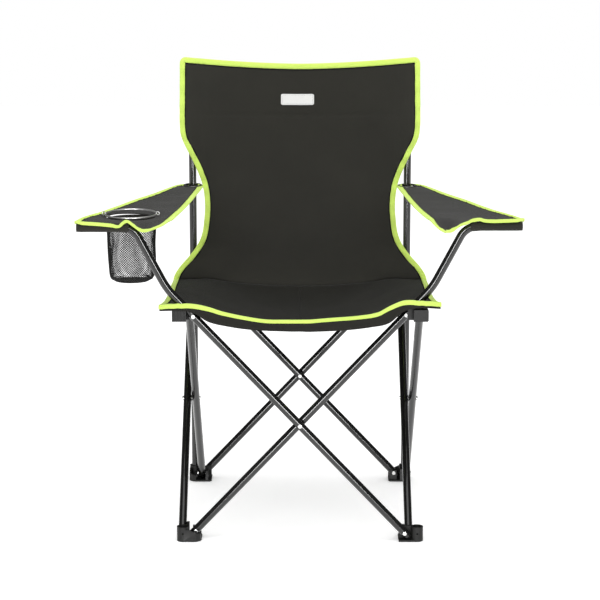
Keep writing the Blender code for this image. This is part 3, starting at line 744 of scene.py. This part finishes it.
def rim(surface, track):
    """(point, inwards, facing) at each place of a track along an edge, with the cloth on its right."""
    points = [surface(a, b) for a, b in track]
    found = []
    for i, (a, b) in enumerate(track):
        way = (points[min(i + 1, len(points) - 1)] - points[max(i - 1, 0)]).normalized()
        inner = surface(a * 0.96, b if b < 0.85 else 0.5 + (b - 0.5) * 0.96) - points[i]
        inner = (inner - way * inner.dot(way)).normalized()
        found.append((points[i], inner, inner.cross(way).normalized()))
    return found


NOSE = 0.0016
# Past this depth, the tape's inner strip is painted shadow in a darker black.
PAINTED_SHADOW_EDGE = 0.00905  # where the lime of the tape ends, from the edge of the cloth
TAPE_SECTION = [
    (0.0116, 0.0003), (0.0112, 0.0010), (0.0091, 0.0012), (0.0088, 0.0018), (0.0060, 0.0021),
    (0.0030, 0.0020), (0.0004, 0.0015), (-0.0012, 0.0008),
]


def run_of(points):
    """How far along a row of points each of them is."""
    lengths = [0.0]
    for a, b in zip(points, points[1:]):
        lengths.append(lengths[-1] + (b - a).length)
    return lengths


def tape(name, track, width=1.0, seed=0.0, closed=True):
    """Folded tape over a cloth's edge, its section down one side, round the nose and up the other."""
    other_side = [(d, -h) for d, h in reversed(TAPE_SECTION)]
    section = TAPE_SECTION + [(-NOSE, 0.0)] + other_side + [TAPE_SECTION[0]]
    count = len(track) - 1

    def where(along, around):
        i = round(along * count)
        point, inwards, facing = track[i]
        depth, height = section[round(around * (len(section) - 1))]
        uneven = 1 + 0.07 * rumple(i * 0.011, 0.0, 0.03, seed) if depth > 0.002 else 1
        ripple = 0.00025 * rumple(i * 0.013, depth * 40, 0.02, seed + 5)
        height += ripple if height > 0 else -ripple
        return point + inwards * depth * width * uneven + facing * height

    made = sheet(name, count, len(section) - 1, where, tape_lime, thickness=0.0, closed=closed)
    made.data.materials.append(tape_black)
    return made


def dress_tape(made, track):
    """Gives the tape's inner strip its darker black of painted shadow, and measures its weave along and
    across the tape.
    """
    edge = [p for p, _, _ in track]
    lengths = run_of(edge)
    layer = made.data.uv_layers.active or made.data.uv_layers.new(name="UVMap")
    nearest = {}
    for vert in made.data.vertices:
        k = min(range(len(edge)), key=lambda i: (edge[i] - vert.co).length_squared)
        point, inwards, _ = track[k]
        nearest[vert.index] = (lengths[k], (vert.co - point).dot(inwards))
    for face in made.data.polygons:
        depth = sum(nearest[v][1] for v in face.vertices) / len(face.vertices)
        face.material_index = 1 if depth > PAINTED_SHADOW_EDGE else 0
    for corner in made.data.loops:
        layer.data[corner.index].uv = nearest[corner.vertex_index]


def sewing(name, places, material, length=0.0030, gap=0.0014, thread=0.00028):
    """A row of stitches along places of (point, facing), each a short fat loop of thread."""
    bpy.ops.mesh.primitive_uv_sphere_add(segments=6, ring_count=5, radius=1)
    bead = bpy.context.object
    corners = [v.co.copy() for v in bead.data.vertices]
    faces = [tuple(f.vertices) for f in bead.data.polygons]
    bpy.data.objects.remove(bead)
    lengths = run_of([p for p, _ in places])
    points, loops = [], []
    at, k = gap, 0
    while at + length < lengths[-1]:
        middle = at + length / 2
        while lengths[k + 1] < middle:
            k += 1
        share = (middle - lengths[k]) / (lengths[k + 1] - lengths[k])
        centre = places[k][0].lerp(places[k + 1][0], share)
        way = (places[k + 1][0] - places[k][0]).normalized()
        facing = places[k][1]
        side = way.cross(facing).normalized()
        base = len(points)
        for c in corners:
            sink = 0.00018 * c.z * c.z
            lift = c.y * thread * 0.7 - sink
            points.append(centre + way * c.z * length / 2 + side * c.x * thread + facing * lift)
        loops += [tuple(base + v for v in face) for face in faces]
        at += length + gap
    mesh = bpy.data.meshes.new(name)
    mesh.from_pydata(points, [], loops)
    row = bpy.data.objects.new(name, mesh)
    bpy.context.scene.collection.objects.link(row)
    return done(row, name, material, 60.0)


def beside_edge(track):
    """Places for the row of stitches that holds a tape down, on its face and near its inner edge."""
    return [(p + i * 0.0074 + f * 0.00215, f) for p, i, f in track]


back = sheet("back_cloth", 96, 120, lambda a, b: back_at(2 * a - 1, b), cloth_black)
lay_weave(back, 0, 2)
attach(back, "rear_left_base")
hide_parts("back_panel")


def back_follows(piece, slot):
    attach(piece, "rear_left_base")
    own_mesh(piece)


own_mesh(back)
STEPS_UP = 150
STEPS_ACROSS = 110
back_track = (
    [(-1, i / STEPS_UP) for i in range(STEPS_UP)]
    + [(-1 + 2 * i / STEPS_ACROSS, 1) for i in range(STEPS_ACROSS)]
    + [(1, 1 - i / STEPS_UP) for i in range(STEPS_UP + 1)]
)
back_rim = rim(back_at, back_track)
binding = tape("back_binding", back_rim, seed=1.0)
dress_tape(binding, back_rim)
back_follows(binding, "cloth")
row = sewing("back_binding_stitches", beside_edge(back_rim), thread_lime)
back_follows(row, "cloth")

# Seams of the header: a double row under it, and a double row inside each post's sleeve. The sleeves
# are a second panel behind, sewn to the first along the same rows, and turned over the top.
def on_back(x, z):
    """The point of the back's cloth at a place seen from the front, and the way it faces."""
    share = min(max((z - BACK_LOW) / (BACK_HIGH - BACK_LOW), 0.0), 1.0)
    up = 1 - (1 - share) ** (1 / 1.3)
    across = x / through(WAIST, z)
    here = back_at(across, up)
    beside = back_at(across + 0.01, up) - here
    above = back_at(across, min(up + 0.005, 1.0)) - here
    facing = beside.cross(above).normalized()
    return here + facing * (CLOTH / 2 + 0.0001), facing


def stitched(name, ends, follows, where):
    """A straight row of stitches between two places of a panel."""
    (x0, z0), (x1, z1) = ends
    steps = 60
    places = [where(x0 + (x1 - x0) * i / steps, z0 + (z1 - z0) * i / steps) for i in range(steps + 1)]
    row = sewing(name, places, thread_black)
    follows(row, "cloth")


HEADER_ROWS = [0.0, 0.0062]
for i, drop in enumerate(HEADER_ROWS):
    stitched(
        f"header_stitches_{i}", ((-0.222, HEADER - drop), (0.222, HEADER - drop)), back_follows, on_back
    )
for side, sign in (("left", -1), ("right", 1)):
    for i, out in enumerate(HEADER_ROWS):
        x = sign * (SLEEVE + out)
        stitched(f"{side}_sleeve_stitches_{i}", ((x, HEADER), (x, 0.846)), back_follows, on_back)

REAR_ROWS = [
    (0.0, 0.2262, 0.7530), (0.42, 0.2272, 0.8000), (0.80, 0.2262, 0.8470), (0.90, 0.2236, 0.8575),
    (0.96, 0.2170, 0.8612), (1.0, 0.2085, 0.8617),
]


def rear_at(across, up):
    """The panel behind the header, from its lower hem up and over the tops of the posts."""
    y = through([(a, b) for a, b, _ in REAR_ROWS], up)
    z = through([(a, c) for a, _, c in REAR_ROWS], up)
    x = across * (0.2350 - 0.004 * ease(0.9, 1.0, up))
    if up < 0.95:
        y = max(y, on_back(x, z)[0].y + 0.0045 * (1 - up) + 0.0012)
    y += 0.0012 * rumple(x, z, 0.06, 8.0)
    y += 0.0030 * max(0.0, 1 - ((abs(x) - POST) / 0.018) ** 2) * (1 - ease(0.80, 0.95, up))
    z -= TOP_DIP * max(0.0, 1 - (abs(x) / 0.232) ** 1.7) * max(0.0, (z - 0.70) / (BACK_HIGH - 0.70))
    return Vector((x, y, z))


rear_panel = sheet(
    "back_sleeve_cloth", 72, 40, lambda a, b: rear_at(1 - 2 * a, b), cloth_black, thickness=0.0010
)
lay_weave(rear_panel, 0, 2)
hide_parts("back_pocket_panel")
back_follows(rear_panel, "cloth")
hem_track = [(1 - 2 * i / 90, 0.0) for i in range(91)]
hem_rim = [(p, Vector((0, 0, 1)), Vector((0, 1, 0))) for p in (rear_at(a, b) for a, b in hem_track)]
hem = tape("back_sleeve_binding", hem_rim, width=0.8, seed=4.0)
dress_tape(hem, hem_rim)
back_follows(hem, "cloth")

# ------------------------------------------------------------------ label
# A plain woven label of white satin, folded under and sewn to the header. It carries no mark.
label_white = new_material("label_white", Roughness=0.5, Sheen_Weight=0.2, Specular_IOR_Level=0.4)
weave(label_white, (0.62, 0.62, 0.60), (0.88, 0.88, 0.87), 0.0004, 0.00006)
LABEL = (-0.0050, 0.7860)
LABEL_SIZE = (0.066, 0.024)


def label_at(across, up):
    corner = 0.0035
    x = (across - 0.5) * LABEL_SIZE[0]
    z = (up - 0.5) * LABEL_SIZE[1]
    over = abs(z) - (LABEL_SIZE[1] / 2 - corner)
    if over > 0:
        x *= 1 - (corner - sqrt(max(corner ** 2 - over ** 2, 0.0))) / (LABEL_SIZE[0] / 2)
    point, facing = on_back(LABEL[0] + x, LABEL[1] + z)
    return point + facing * 0.0005


label = sheet("header_label", 44, 22, label_at, label_white, thickness=0.0007)
lay_weave(label, 0, 2)
back_follows(label, "cloth")
label_edge = [label_at(0.5 + 0.455 * a, 0.5 + 0.40 * b) for a, b in
              [(-1 + 2 * i / 30, 1) for i in range(30)] + [(1, 1 - 2 * i / 14) for i in range(14)]
              + [(1 - 2 * i / 30, -1) for i in range(30)] + [(-1, -1 + 2 * i / 14) for i in range(15)]]
row = sewing(
    "label_stitches",
    [(p + Vector((0, -0.0005, 0)), Vector((0, -1, 0))) for p in label_edge],
    thread_black,
    length=0.0020,
    gap=0.0010,
    thread=0.00018,
)
back_follows(row, "cloth")

# ------------------------------------------------------------------ seat cloth
# The seat is held at its four corners over the hubs and sags between them. Its front edge turns down
# into a deep hem, with lime tape along the turn. It is in two halves, which drop as the chair folds.
SEAT_EDGE = 0.2525
FRONT_Y = -0.2335
TURN = 0.0060  # the bend over the front edge
FRONT_LINE = {
    -1: [
        (0, 0.4165), (0.02, 0.4165), (0.064, 0.4172), (0.105, 0.4236), (0.140, 0.4312), (0.165, 0.4395),
        (0.188, 0.4445), (0.215, 0.4450), (0.260, 0.4430),
    ],
    1: [
        (0, 0.4165), (0.02, 0.4170), (0.052, 0.4196), (0.105, 0.4236), (0.140, 0.4294), (0.162, 0.4415),
        (0.186, 0.4515), (0.215, 0.4505), (0.260, 0.4475),
    ],
}
HEM_LINE = {
    -1: [
        (0, 0.3958), (0.02, 0.3958), (0.085, 0.3988), (0.130, 0.4050), (0.165, 0.4135), (0.190, 0.4290),
        (0.210, 0.4335), (0.260, 0.4330),
    ],
    1: [
        (0, 0.3958), (0.02, 0.3953), (0.085, 0.3985), (0.130, 0.4040), (0.160, 0.4110), (0.186, 0.4320),
        (0.210, 0.4385), (0.260, 0.4370),
    ],
}
SAG_LINE = [
    (0, 0.3775), (0.03, 0.3780), (0.06, 0.3808), (0.10, 0.3890), (0.14, 0.4010), (0.165, 0.4110),
    (0.19, 0.4200), (0.22, 0.4265), (0.26, 0.4285),
]
SEAT_FRONT = -0.2275  # where the turn over the front edge begins
SEAT_REAR = SEAM_Y - 0.0006


def seat_height(sign, x, y):
    front, sag, rear = through(FRONT_LINE[sign], x), through(SAG_LINE, x), through(REAR_EDGE, x)
    if y < -0.02:
        k = (y + 0.02) / (FRONT_Y + 0.02)
        height = sag + (front - sag) * k ** 2.1
    else:
        k = (y + 0.02) / (SEAM_Y + 0.02)
        height = sag + (rear - sag) * k ** (2.3 + 1.4 * ease(0.17, 0.08, x))
    away = ease(0.01, 0.06, x)
    height += 0.0016 * away * rumple(sign * x, y, 0.07, 12.0) * (1 - abs(k) ** 4)
    to_corner = max(0.0, 1 - Vector((x - 0.215, abs(y) - 0.20)).length / 0.11)
    angle = 9.0 * Vector((0.22 - x, 0.21 - abs(y))).angle(Vector((1, 0)), 0.0)
    creases = sin(angle + 2 * rumple(x, y, 0.05, 2.0))
    height += 0.0016 * away * to_corner ** 1.5 * creases * (1 - to_corner)
    return height


def seat_at(sign, across, along):
    """The seat's surface: across from the middle to the side, along from the rear seam to the front hem."""
    x = SEAT_EDGE * across
    top_share, turn_share = 0.78, 0.88
    narrow = 0.003 * sin(pi * min(along / top_share, 1.0))
    if along <= top_share:
        y = SEAT_REAR + (SEAT_FRONT - SEAT_REAR) * along / top_share
        return Vector((sign * (x - narrow * across ** 3), y, seat_height(sign, x, y)))
    front = seat_height(sign, x, SEAT_FRONT)
    if along <= turn_share:
        angle = (along - top_share) / (turn_share - top_share) * pi / 2
        return Vector((sign * x, SEAT_FRONT - TURN * sin(angle), front - TURN * (1 - cos(angle))))
    start = front - TURN
    low = min(through(HEM_LINE[sign], x), start - 0.003)
    k = (along - turn_share) / (1 - turn_share)
    wave = 0.0010 * rumple(sign * x, 0.0, 0.045, 20.0) * k * ease(0.0, 0.03, x)
    return Vector((sign * x, SEAT_FRONT - TURN - 0.0006 * k + wave, start + (low - start) * k))


def thin_pole(start, end, radius):
    start, end = Vector(start), Vector(end)
    bpy.ops.mesh.primitive_cylinder_add(
        vertices=32,
        radius=radius,
        depth=(end - start).length,
        location=(start + end) / 2,
        rotation=(end - start).to_track_quat("Z", "Y").to_euler(),
    )
    return done(bpy.context.object, "pole", None)


def punch(cloth, cutter):
    cut = cloth.modifiers.new("punched", "BOOLEAN")
    cut.operation = "DIFFERENCE"
    cut.solver = "EXACT"
    cut.object = cutter
    deselect()
    cloth.select_set(True)
    bpy.context.view_layer.objects.active = cloth
    bpy.ops.object.modifier_apply(modifier="punched")
    bpy.data.objects.remove(cutter)


for side, sign in (("left", -1), ("right", 1)):
    def half(a, b, sign=sign):
        return seat_at(sign, a if sign > 0 else 1 - a, 1 - b)

    def seat_follows(piece, side=side):
        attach(piece, f"{side}_seat")
        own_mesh(piece)

    seat = sheet(f"{side}_seat_cloth", 64, 110, half, cloth_seat)
    lay_weave(seat, 0, 1)
    plane = -OUTER if sign < 0 else -INNER
    way = Vector((sign * TILT.x, 0, TILT.z))
    hub_pivot = Vector((sign * PIVOT, plane, HUB_Z))
    punch(seat, thin_pole(hub_pivot + 0.010 * way, hub_pivot + 0.060 * way, TUBE + 0.0012))
    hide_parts(f"{side}_seat_panel")
    seat_follows(seat)

    # The lime tape over the front turn.
    def over_turn(a, b, sign=sign):
        """A flat tape wrapped over the bend: along a, and round its closed section b."""
        x = (SEAT_EDGE + 0.0015) * (a if sign > 0 else 1 - a)
        front = seat_height(sign, min(x, SEAT_EDGE), SEAT_FRONT)
        outer = TURN + CLOTH / 2 + 0.0011
        inner = TURN + CLOTH / 2 - 0.0004
        k = b * 2 if b <= 0.5 else (1 - b) * 2
        radius = outer if b <= 0.5 else inner
        reach = -0.42 + (1.62 + 0.30 * ease(0.10, 0.20, x)) * k + 0.05 * rumple(sign * x, 0.0, 0.03, 30.0)
        if k < 0.04 or k > 0.96:
            radius = (outer + inner) / 2
        centre = Vector((sign * x, SEAT_FRONT, front - TURN))
        if reach > pi / 2:
            return centre + Vector((0, -radius, -TURN * (reach - pi / 2)))
        if reach < 0:
            return centre + Vector((0, -reach * TURN * 1.4, radius))
        return centre + Vector((0, -radius * sin(reach), radius * cos(reach)))

    trim = sheet(f"{side}_seat_front_binding", 96, 24, over_turn, tape_lime, thickness=0.0, closed=True)
    lay_weave(trim, 0, 2)
    seat_follows(trim)

    # The tape down the side, from the seam at the rear to the front corner.
    side_track = [(1.0, i / 160 * 0.775) for i in range(161)]
    if sign < 0:
        side_track.reverse()

    def edge_at(a, b, sign=sign):
        return seat_at(sign, a, b)

    side_rim = []
    points = [edge_at(a, b) for a, b in side_track]
    for i, point in enumerate(points):
        tangent = (points[min(i + 1, 160)] - points[max(i - 1, 0)]).normalized()
        inner = edge_at(0.93, side_track[i][1]) - point
        inner = (inner - tangent * inner.dot(tangent)).normalized()
        up = inner.cross(tangent).normalized()
        side_rim.append((point, inner, up if up.z > 0 else -up))
    trim = tape(f"{side}_seat_side_binding", side_rim, seed=6.0 + sign)
    dress_tape(trim, side_rim)
    seat_follows(trim)
    row = sewing(f"{side}_seat_side_stitches", beside_edge(side_rim), thread_lime)
    seat_follows(row)

    # The hem's own row of stitches.
    hem_places = []
    for i in range(80):
        x = 0.003 + 0.190 * i / 79
        low = min(through(HEM_LINE[sign], x), seat_height(sign, x, SEAT_FRONT) - TURN - 0.003)
        hem_places.append(
            (Vector((sign * x, SEAT_FRONT - TURN - CLOTH / 2 - 0.0007, low + 0.0040)), Vector((0, -1, 0)))
        )
    row = sewing(f"{side}_seat_hem_stitches", hem_places, thread_black)
    seat_follows(row)

# ------------------------------------------------------------------ armrests
# Each armrest is a tapering panel of grey cloth, paler than the back's: partly its own colour and partly
# painted sheen for the light on its tops. It is bound in lime all round. At the rear an eyelet lets it slide
# on the post, and at the front a sleeve under its edge takes the level end of the arm tube.
cloth_grey = new_material(
    "cloth_grey", Roughness=0.8, Sheen_Weight=0.12, Sheen_Roughness=0.4, Specular_IOR_Level=0.3
)
weave(cloth_grey, (0.0125, 0.0120, 0.0110), (0.031, 0.030, 0.028), 0.00055, 0.00012)
ARM_RISE = 0.047
ARM_INNER = [
    (-0.2180, 0.2500), (-0.2060, 0.2420), (-0.1900, 0.2375), (-0.1700, 0.2345), (-0.1450, 0.2310),
    (-0.1050, 0.2255), (-0.0700, 0.2205), (-0.0180, 0.2145), (0.0430, 0.2085), (0.0850, 0.2050),
    (0.1250, 0.2015), (0.1600, 0.1985), (0.1900, 0.1965), (0.2120, 0.1962), (0.2300, 0.1983),
    (0.2395, 0.2035),
]
ARM_OUTER = [
    (-0.2180, 0.3990), (-0.2060, 0.4020), (-0.1900, 0.4040), (-0.1700, 0.4045), (-0.1450, 0.4000),
    (-0.1050, 0.3820), (-0.0700, 0.3640), (-0.0180, 0.3420), (0.0430, 0.3190), (0.0850, 0.3000),
    (0.1250, 0.2830), (0.1600, 0.2700), (0.1900, 0.2585), (0.2120, 0.2490), (0.2300, 0.2385),
    (0.2395, 0.2260),
]
ARM_REAR = 0.2385
ARM_FRONT = {-1: -0.2285, 1: -0.2120}
DROOP = {
    -1: [
        (0.235, 0.006), (0.247, 0.001), (0.262, -0.004), (0.276, -0.0085), (0.286, -0.0070),
        (0.296, 0.0), (0.307, 0.0035), (0.314, 0.0010), (0.323, -0.0060), (0.336, -0.0050),
        (0.365, -0.0022), (0.405, 0.0010),
    ],
    1: [
        (0.235, 0.004), (0.244, -0.003), (0.254, -0.0105), (0.265, -0.0125), (0.274, -0.0105),
        (0.284, -0.0020), (0.294, 0.0012), (0.312, 0.0020), (0.322, 0.0034), (0.331, 0.0008),
        (0.350, 0.0), (0.405, 0.0024),
    ],
}
CUP = (-0.3115, -0.1130)
CUP_HOLE = 0.0450
SLEEVE_FROM, SLEEVE_TO = 0.3060, 0.4000  # the ends of the sleeve round the arm tube
SWING_KEEP = {-1: (-OUTER, 0.4547), 1: (-INNER, 0.4441)}


def arm_at(sign, across, forward):
    """An armrest's surface: across from its inner to its outer edge, forward from its rear to its front."""
    y = ARM_REAR + (ARM_FRONT[sign] - ARM_REAR) * forward
    stretch = 1 + (abs(ARM_FRONT[sign]) - 0.218) / 0.218 * ease(-0.05, -0.20, y)
    near, far = through(ARM_INNER, y / stretch), through(ARM_OUTER, y / stretch)
    turn = 0.012
    for end, distance in ((ARM_REAR, ARM_REAR - y), (ARM_FRONT[sign], y - ARM_FRONT[sign])):
        if distance < turn:
            cut = turn - sqrt(max(turn ** 2 - (turn - distance) ** 2, 0.0))
            near, far = near + cut * 0.8, far - cut * 0.8
    x = near + (far - near) * across
    z = 0.5868 + ARM_RISE * (y + 0.20)
    at_front = ease(ARM_FRONT[sign] + 0.075, ARM_FRONT[sign] + 0.004, y)
    z += through(DROOP[sign], x) * at_front
    over_tube = y - SWING_KEEP[sign][0]
    z += 0.0062 * ease(0.296, 0.310, x) * sqrt(max(0.0, 1 - (over_tube / 0.0165) ** 2))
    y -= 0.004 * at_front * max(0.0, 1 - ((x - 0.270) / 0.030) ** 2)
    length = ease(0.20, 0.05, y) * ease(-0.20, -0.05, y)
    z -= 0.0045 * length * sin(pi * across)
    z += 0.0012 * rumple(sign * x, y, 0.05, 40.0 + sign) * sin(pi * across)
    from_eye = Vector((x - POST, y - POST)).length
    z -= 0.0016 * max(0.0, 1 - abs(from_eye - 0.022) / 0.010)
    if sign < 0:
        from_cup = Vector((x + CUP[0], y - CUP[1])).length - CUP_HOLE
        z -= 0.0022 * max(0.0, 1 - from_cup / 0.030) if from_cup > 0 else 0.0022
    return Vector((sign * x, y, z))


def arm_follows(piece, sign):
    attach(piece, "left_armrest" if sign < 0 else "right_armrest")
    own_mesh(piece)


def oval_cutter(place, radii):
    bpy.ops.mesh.primitive_cylinder_add(vertices=64, radius=1, depth=1, location=place, scale=(*radii, 0.08))
    return done(bpy.context.object, "cutter", None)


eyelet_dark = new_material("eyelet_dark", Metallic=0.9, Roughness=0.42, Base_Color=(0.16, 0.16, 0.16, 1))
for side, sign in (("left", -1), ("right", 1)):
    def arm(a, b, sign=sign):
        return arm_at(sign, a if sign > 0 else 1 - a, 1 - b)

    pad = sheet(f"{side}_armrest_cloth", 60, 130, arm, cloth_grey, thickness=0.0018)
    lay_weave(pad, 0, 1)
    punch(pad, oval_cutter((sign * POST, 0.2140, 0.606), (0.0160, 0.0182)))
    if sign < 0:
        punch(pad, oval_cutter((*CUP, 0.59), (CUP_HOLE, CUP_HOLE)))
    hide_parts(f"{side}_armrest")
    arm_follows(pad, sign)

    steps = 150
    around = (
        [(0.0, i / steps) for i in range(steps)]
        + [(i / 60, 1.0) for i in range(60)]
        + [(1.0, 1 - i / steps) for i in range(steps)]
        + [(1 - i / 14, 0.0) for i in range(15)]
    )
    points = [arm_at(sign, a, b) for a, b in around]
    arm_rim = []
    for i, (a, b) in enumerate(around):
        before, after = points[i - 1 if i else -2], points[i + 1 if i + 1 < len(points) else 1]
        tangent = (after - before).normalized()
        inner = arm_at(sign, 0.5 + (a - 0.5) * 0.96, 0.5 + (b - 0.5) * 0.985) - points[i]
        inner = (inner - tangent * inner.dot(tangent)).normalized()
        up = inner.cross(tangent).normalized()
        arm_rim.append((points[i], inner, up if up.z > 0 else -up))
    trim = tape(f"{side}_armrest_binding", arm_rim, width=1.0, seed=9.0 + sign)
    dress_tape(trim, arm_rim)
    arm_follows(trim, sign)
    row = sewing(f"{side}_armrest_stitches", beside_edge(arm_rim), thread_lime)
    arm_follows(row, sign)

    # The sleeve round the level end of the tube, with its upper side caught into the front edge.
    plane = -OUTER if sign < 0 else -INNER

    def sleeve_at(a, b, sign=sign, plane=plane):
        x = SLEEVE_FROM + (SLEEVE_TO - SLEEVE_FROM) * a
        angle = 2 * pi * b
        radius = 0.0082 + 0.0003 * rumple(x, angle, 0.02, 50.0 + sign)
        radius += 0.0012 * (1 - ease(0.0, 0.25, a)) - 0.0003 * ease(0.9, 1.0, a)
        return Vector((sign * x, plane + radius * sin(angle), ARM_Z + radius * cos(angle)))

    sleeve = sheet(f"{side}_arm_sleeve", 40, 32, sleeve_at, cloth_black, thickness=0.0, closed=True)
    thicken(sleeve, 0.0010, offset=-1)
    lay_weave(sleeve, 0, 2)
    arm_follows(sleeve, sign)

    # The eyelet on the post: a pressed oval ring of plated wire.
    node = f"{side}_arm_grommet"
    bpy.ops.mesh.primitive_torus_add(
        major_segments=64, minor_segments=14, major_radius=0.0168, minor_radius=0.0018, location=(0, 0, 0)
    )
    eye = bpy.context.object
    eye.scale = (1.0, 1.13, 0.75)
    eye.rotation_euler = (ARM_RISE, 0, 0)
    eye.location = (sign * POST, 0.2140, arm_at(sign, 0.4, 0.05).z + 0.0006)
    done(eye, node + "_ring", eyelet_dark)
    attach(eye, f"{side}_grommet")
    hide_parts(node)

# ------------------------------------------------------------------ cup holder
# A ring of wire on the left armrest, with an eye bent at each side, holds open a net pocket. The pocket
# has a black taped top, a knitted net of hexagons and a round cloth bottom.
RING = 0.0474
WIRE = 0.0017
POCKET_TOP = 0.5808
POCKET_LOW = 0.4690
wire_grey = new_material("ring_wire", Metallic=0.85, Roughness=0.3, Base_Color=(0.70, 0.70, 0.69, 1))
place, plug = finish_wires(wire_grey)
spots = place.noise(300.0)
plug(
    colour=spots.blend((0.60, 0.60, 0.59), (0.80, 0.80, 0.79)), roughness=0.24 + 0.16 * spots,
    bump=place.noise(1400.0), height=0.00003,
)
net_black = new_material("net_black", Roughness=0.7, Specular_IOR_Level=0.3)
place, plug = finish_wires(net_black)
knit = place.noise(1800.0, 2.0)
plug(
    colour=knit.blend((0.006, 0.006, 0.006), (0.016, 0.016, 0.016)), roughness=0.6 + 0.2 * knit, bump=knit,
    height=0.0001,
)

ring_low, ring_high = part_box("cup_ring")
ring_centre = (ring_low + ring_high) / 2


def hoop(radius, wire, place, turn, segments=96):
    bpy.ops.mesh.primitive_torus_add(
        major_segments=segments,
        minor_segments=12,
        major_radius=radius,
        minor_radius=wire,
        location=place,
        rotation=turn,
    )
    return done(bpy.context.object, "hoop", wire_grey)


ring = hoop(RING, WIRE, ring_centre, (ARM_RISE, 0, 0))
eyes = [
    hoop(
        0.0030, 0.0011, ring_centre + Vector((sign * (RING + 0.0024), -0.004, 0.0012)),
        (radians(70), 0, radians(sign * 25)), 24,
    )
    for sign in (-1, 1)
]
add_to(ring, eyes)
done(ring, "cup_ring_wire", wire_grey)
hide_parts("cup_ring")
arm_follows(ring, -1)

PROFILE = [
    (0.0, 0.0300), (0.0035, 0.0375), (0.012, 0.0412), (0.030, 0.0428), (0.062, 0.0436), (0.095, 0.0450),
    (0.1118, 0.0464),
]


def pocket_at(a, b):
    """The net's surface: round from 0 to 1, and up from its bottom to its top."""
    height = b * (POCKET_TOP - POCKET_LOW)
    angle = 2 * pi * a
    radius = through(PROFILE, height)
    slack = sin(pi * b) * 0.0013
    radius += slack * sin(3 * angle + 2.0) + 0.7 * slack * sin(5 * angle + 7 * b)
    return Vector((CUP[0] + radius * cos(angle), CUP[1] + radius * sin(angle), POCKET_LOW + height))


COURSES = 26
WALES = 60
net = sheet("cup_net", WALES, COURSES, pocket_at, net_black, thickness=0.0, closed=True)
edit(net, "EDGE", lambda edge: True)
bpy.ops.mesh.poke()
shape = bmesh.from_edit_mesh(net.data)
for edge in shape.edges:
    edge.select_set(len(edge.link_faces) == 2 and all(len(v.link_edges) > 4 for v in edge.verts))
bmesh.update_edit_mesh(net.data)
bpy.ops.mesh.dissolve_edges(use_verts=False)
done(net, "cup_net", net_black)
strands = net.modifiers.new("strands", "WIREFRAME")
strands.thickness = 0.0013
strands.use_even_offset = False
bpy.ops.object.modifier_apply(modifier="strands")
done(net, "cup_net", net_black, 60.0)
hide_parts("cup_pocket")
arm_follows(net, -1)


def collar_at(a, b):
    """The taped top, which turns out over the wire."""
    angle = 2 * pi * a
    turned_out = ease(0.72, 1.0, b)
    radius = 0.0462 + 0.0008 * b + 0.0016 * turned_out
    height = POCKET_TOP - 0.0100 + 0.0135 * b - 0.0012 * turned_out + ARM_RISE * radius * sin(angle) * 0.9
    return Vector((CUP[0] + radius * cos(angle), CUP[1] + radius * sin(angle), height))


collar = sheet("cup_collar", 72, 10, collar_at, cloth_black, thickness=0.0, closed=True)
thicken(collar, 0.0010)
lay_weave(collar, 0, 2)
arm_follows(collar, -1)

bpy.ops.mesh.primitive_cylinder_add(
    vertices=48, radius=0.0315, depth=0.0012, location=(*CUP, POCKET_LOW + 0.0004)
)
bottom = done(bpy.context.object, "cup_bottom", cloth_black)
edit(bottom, "FACE", lambda face: abs(face.normal.z) > 0.9)
bpy.ops.mesh.inset(thickness=0.0035, depth=0.0)
bpy.ops.mesh.inset(thickness=0.0012, depth=-0.0003)
bpy.ops.mesh.inset(thickness=0.010, depth=0.0)
done(bottom, "cup_bottom", cloth_black)
lay_weave(bottom, 0, 1)
arm_follows(bottom, -1)

# ------------------------------------------------------------------ sizes
size = {"cad": [list(cad_low), list(cad_high)], "visual": [list(corner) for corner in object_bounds()]}
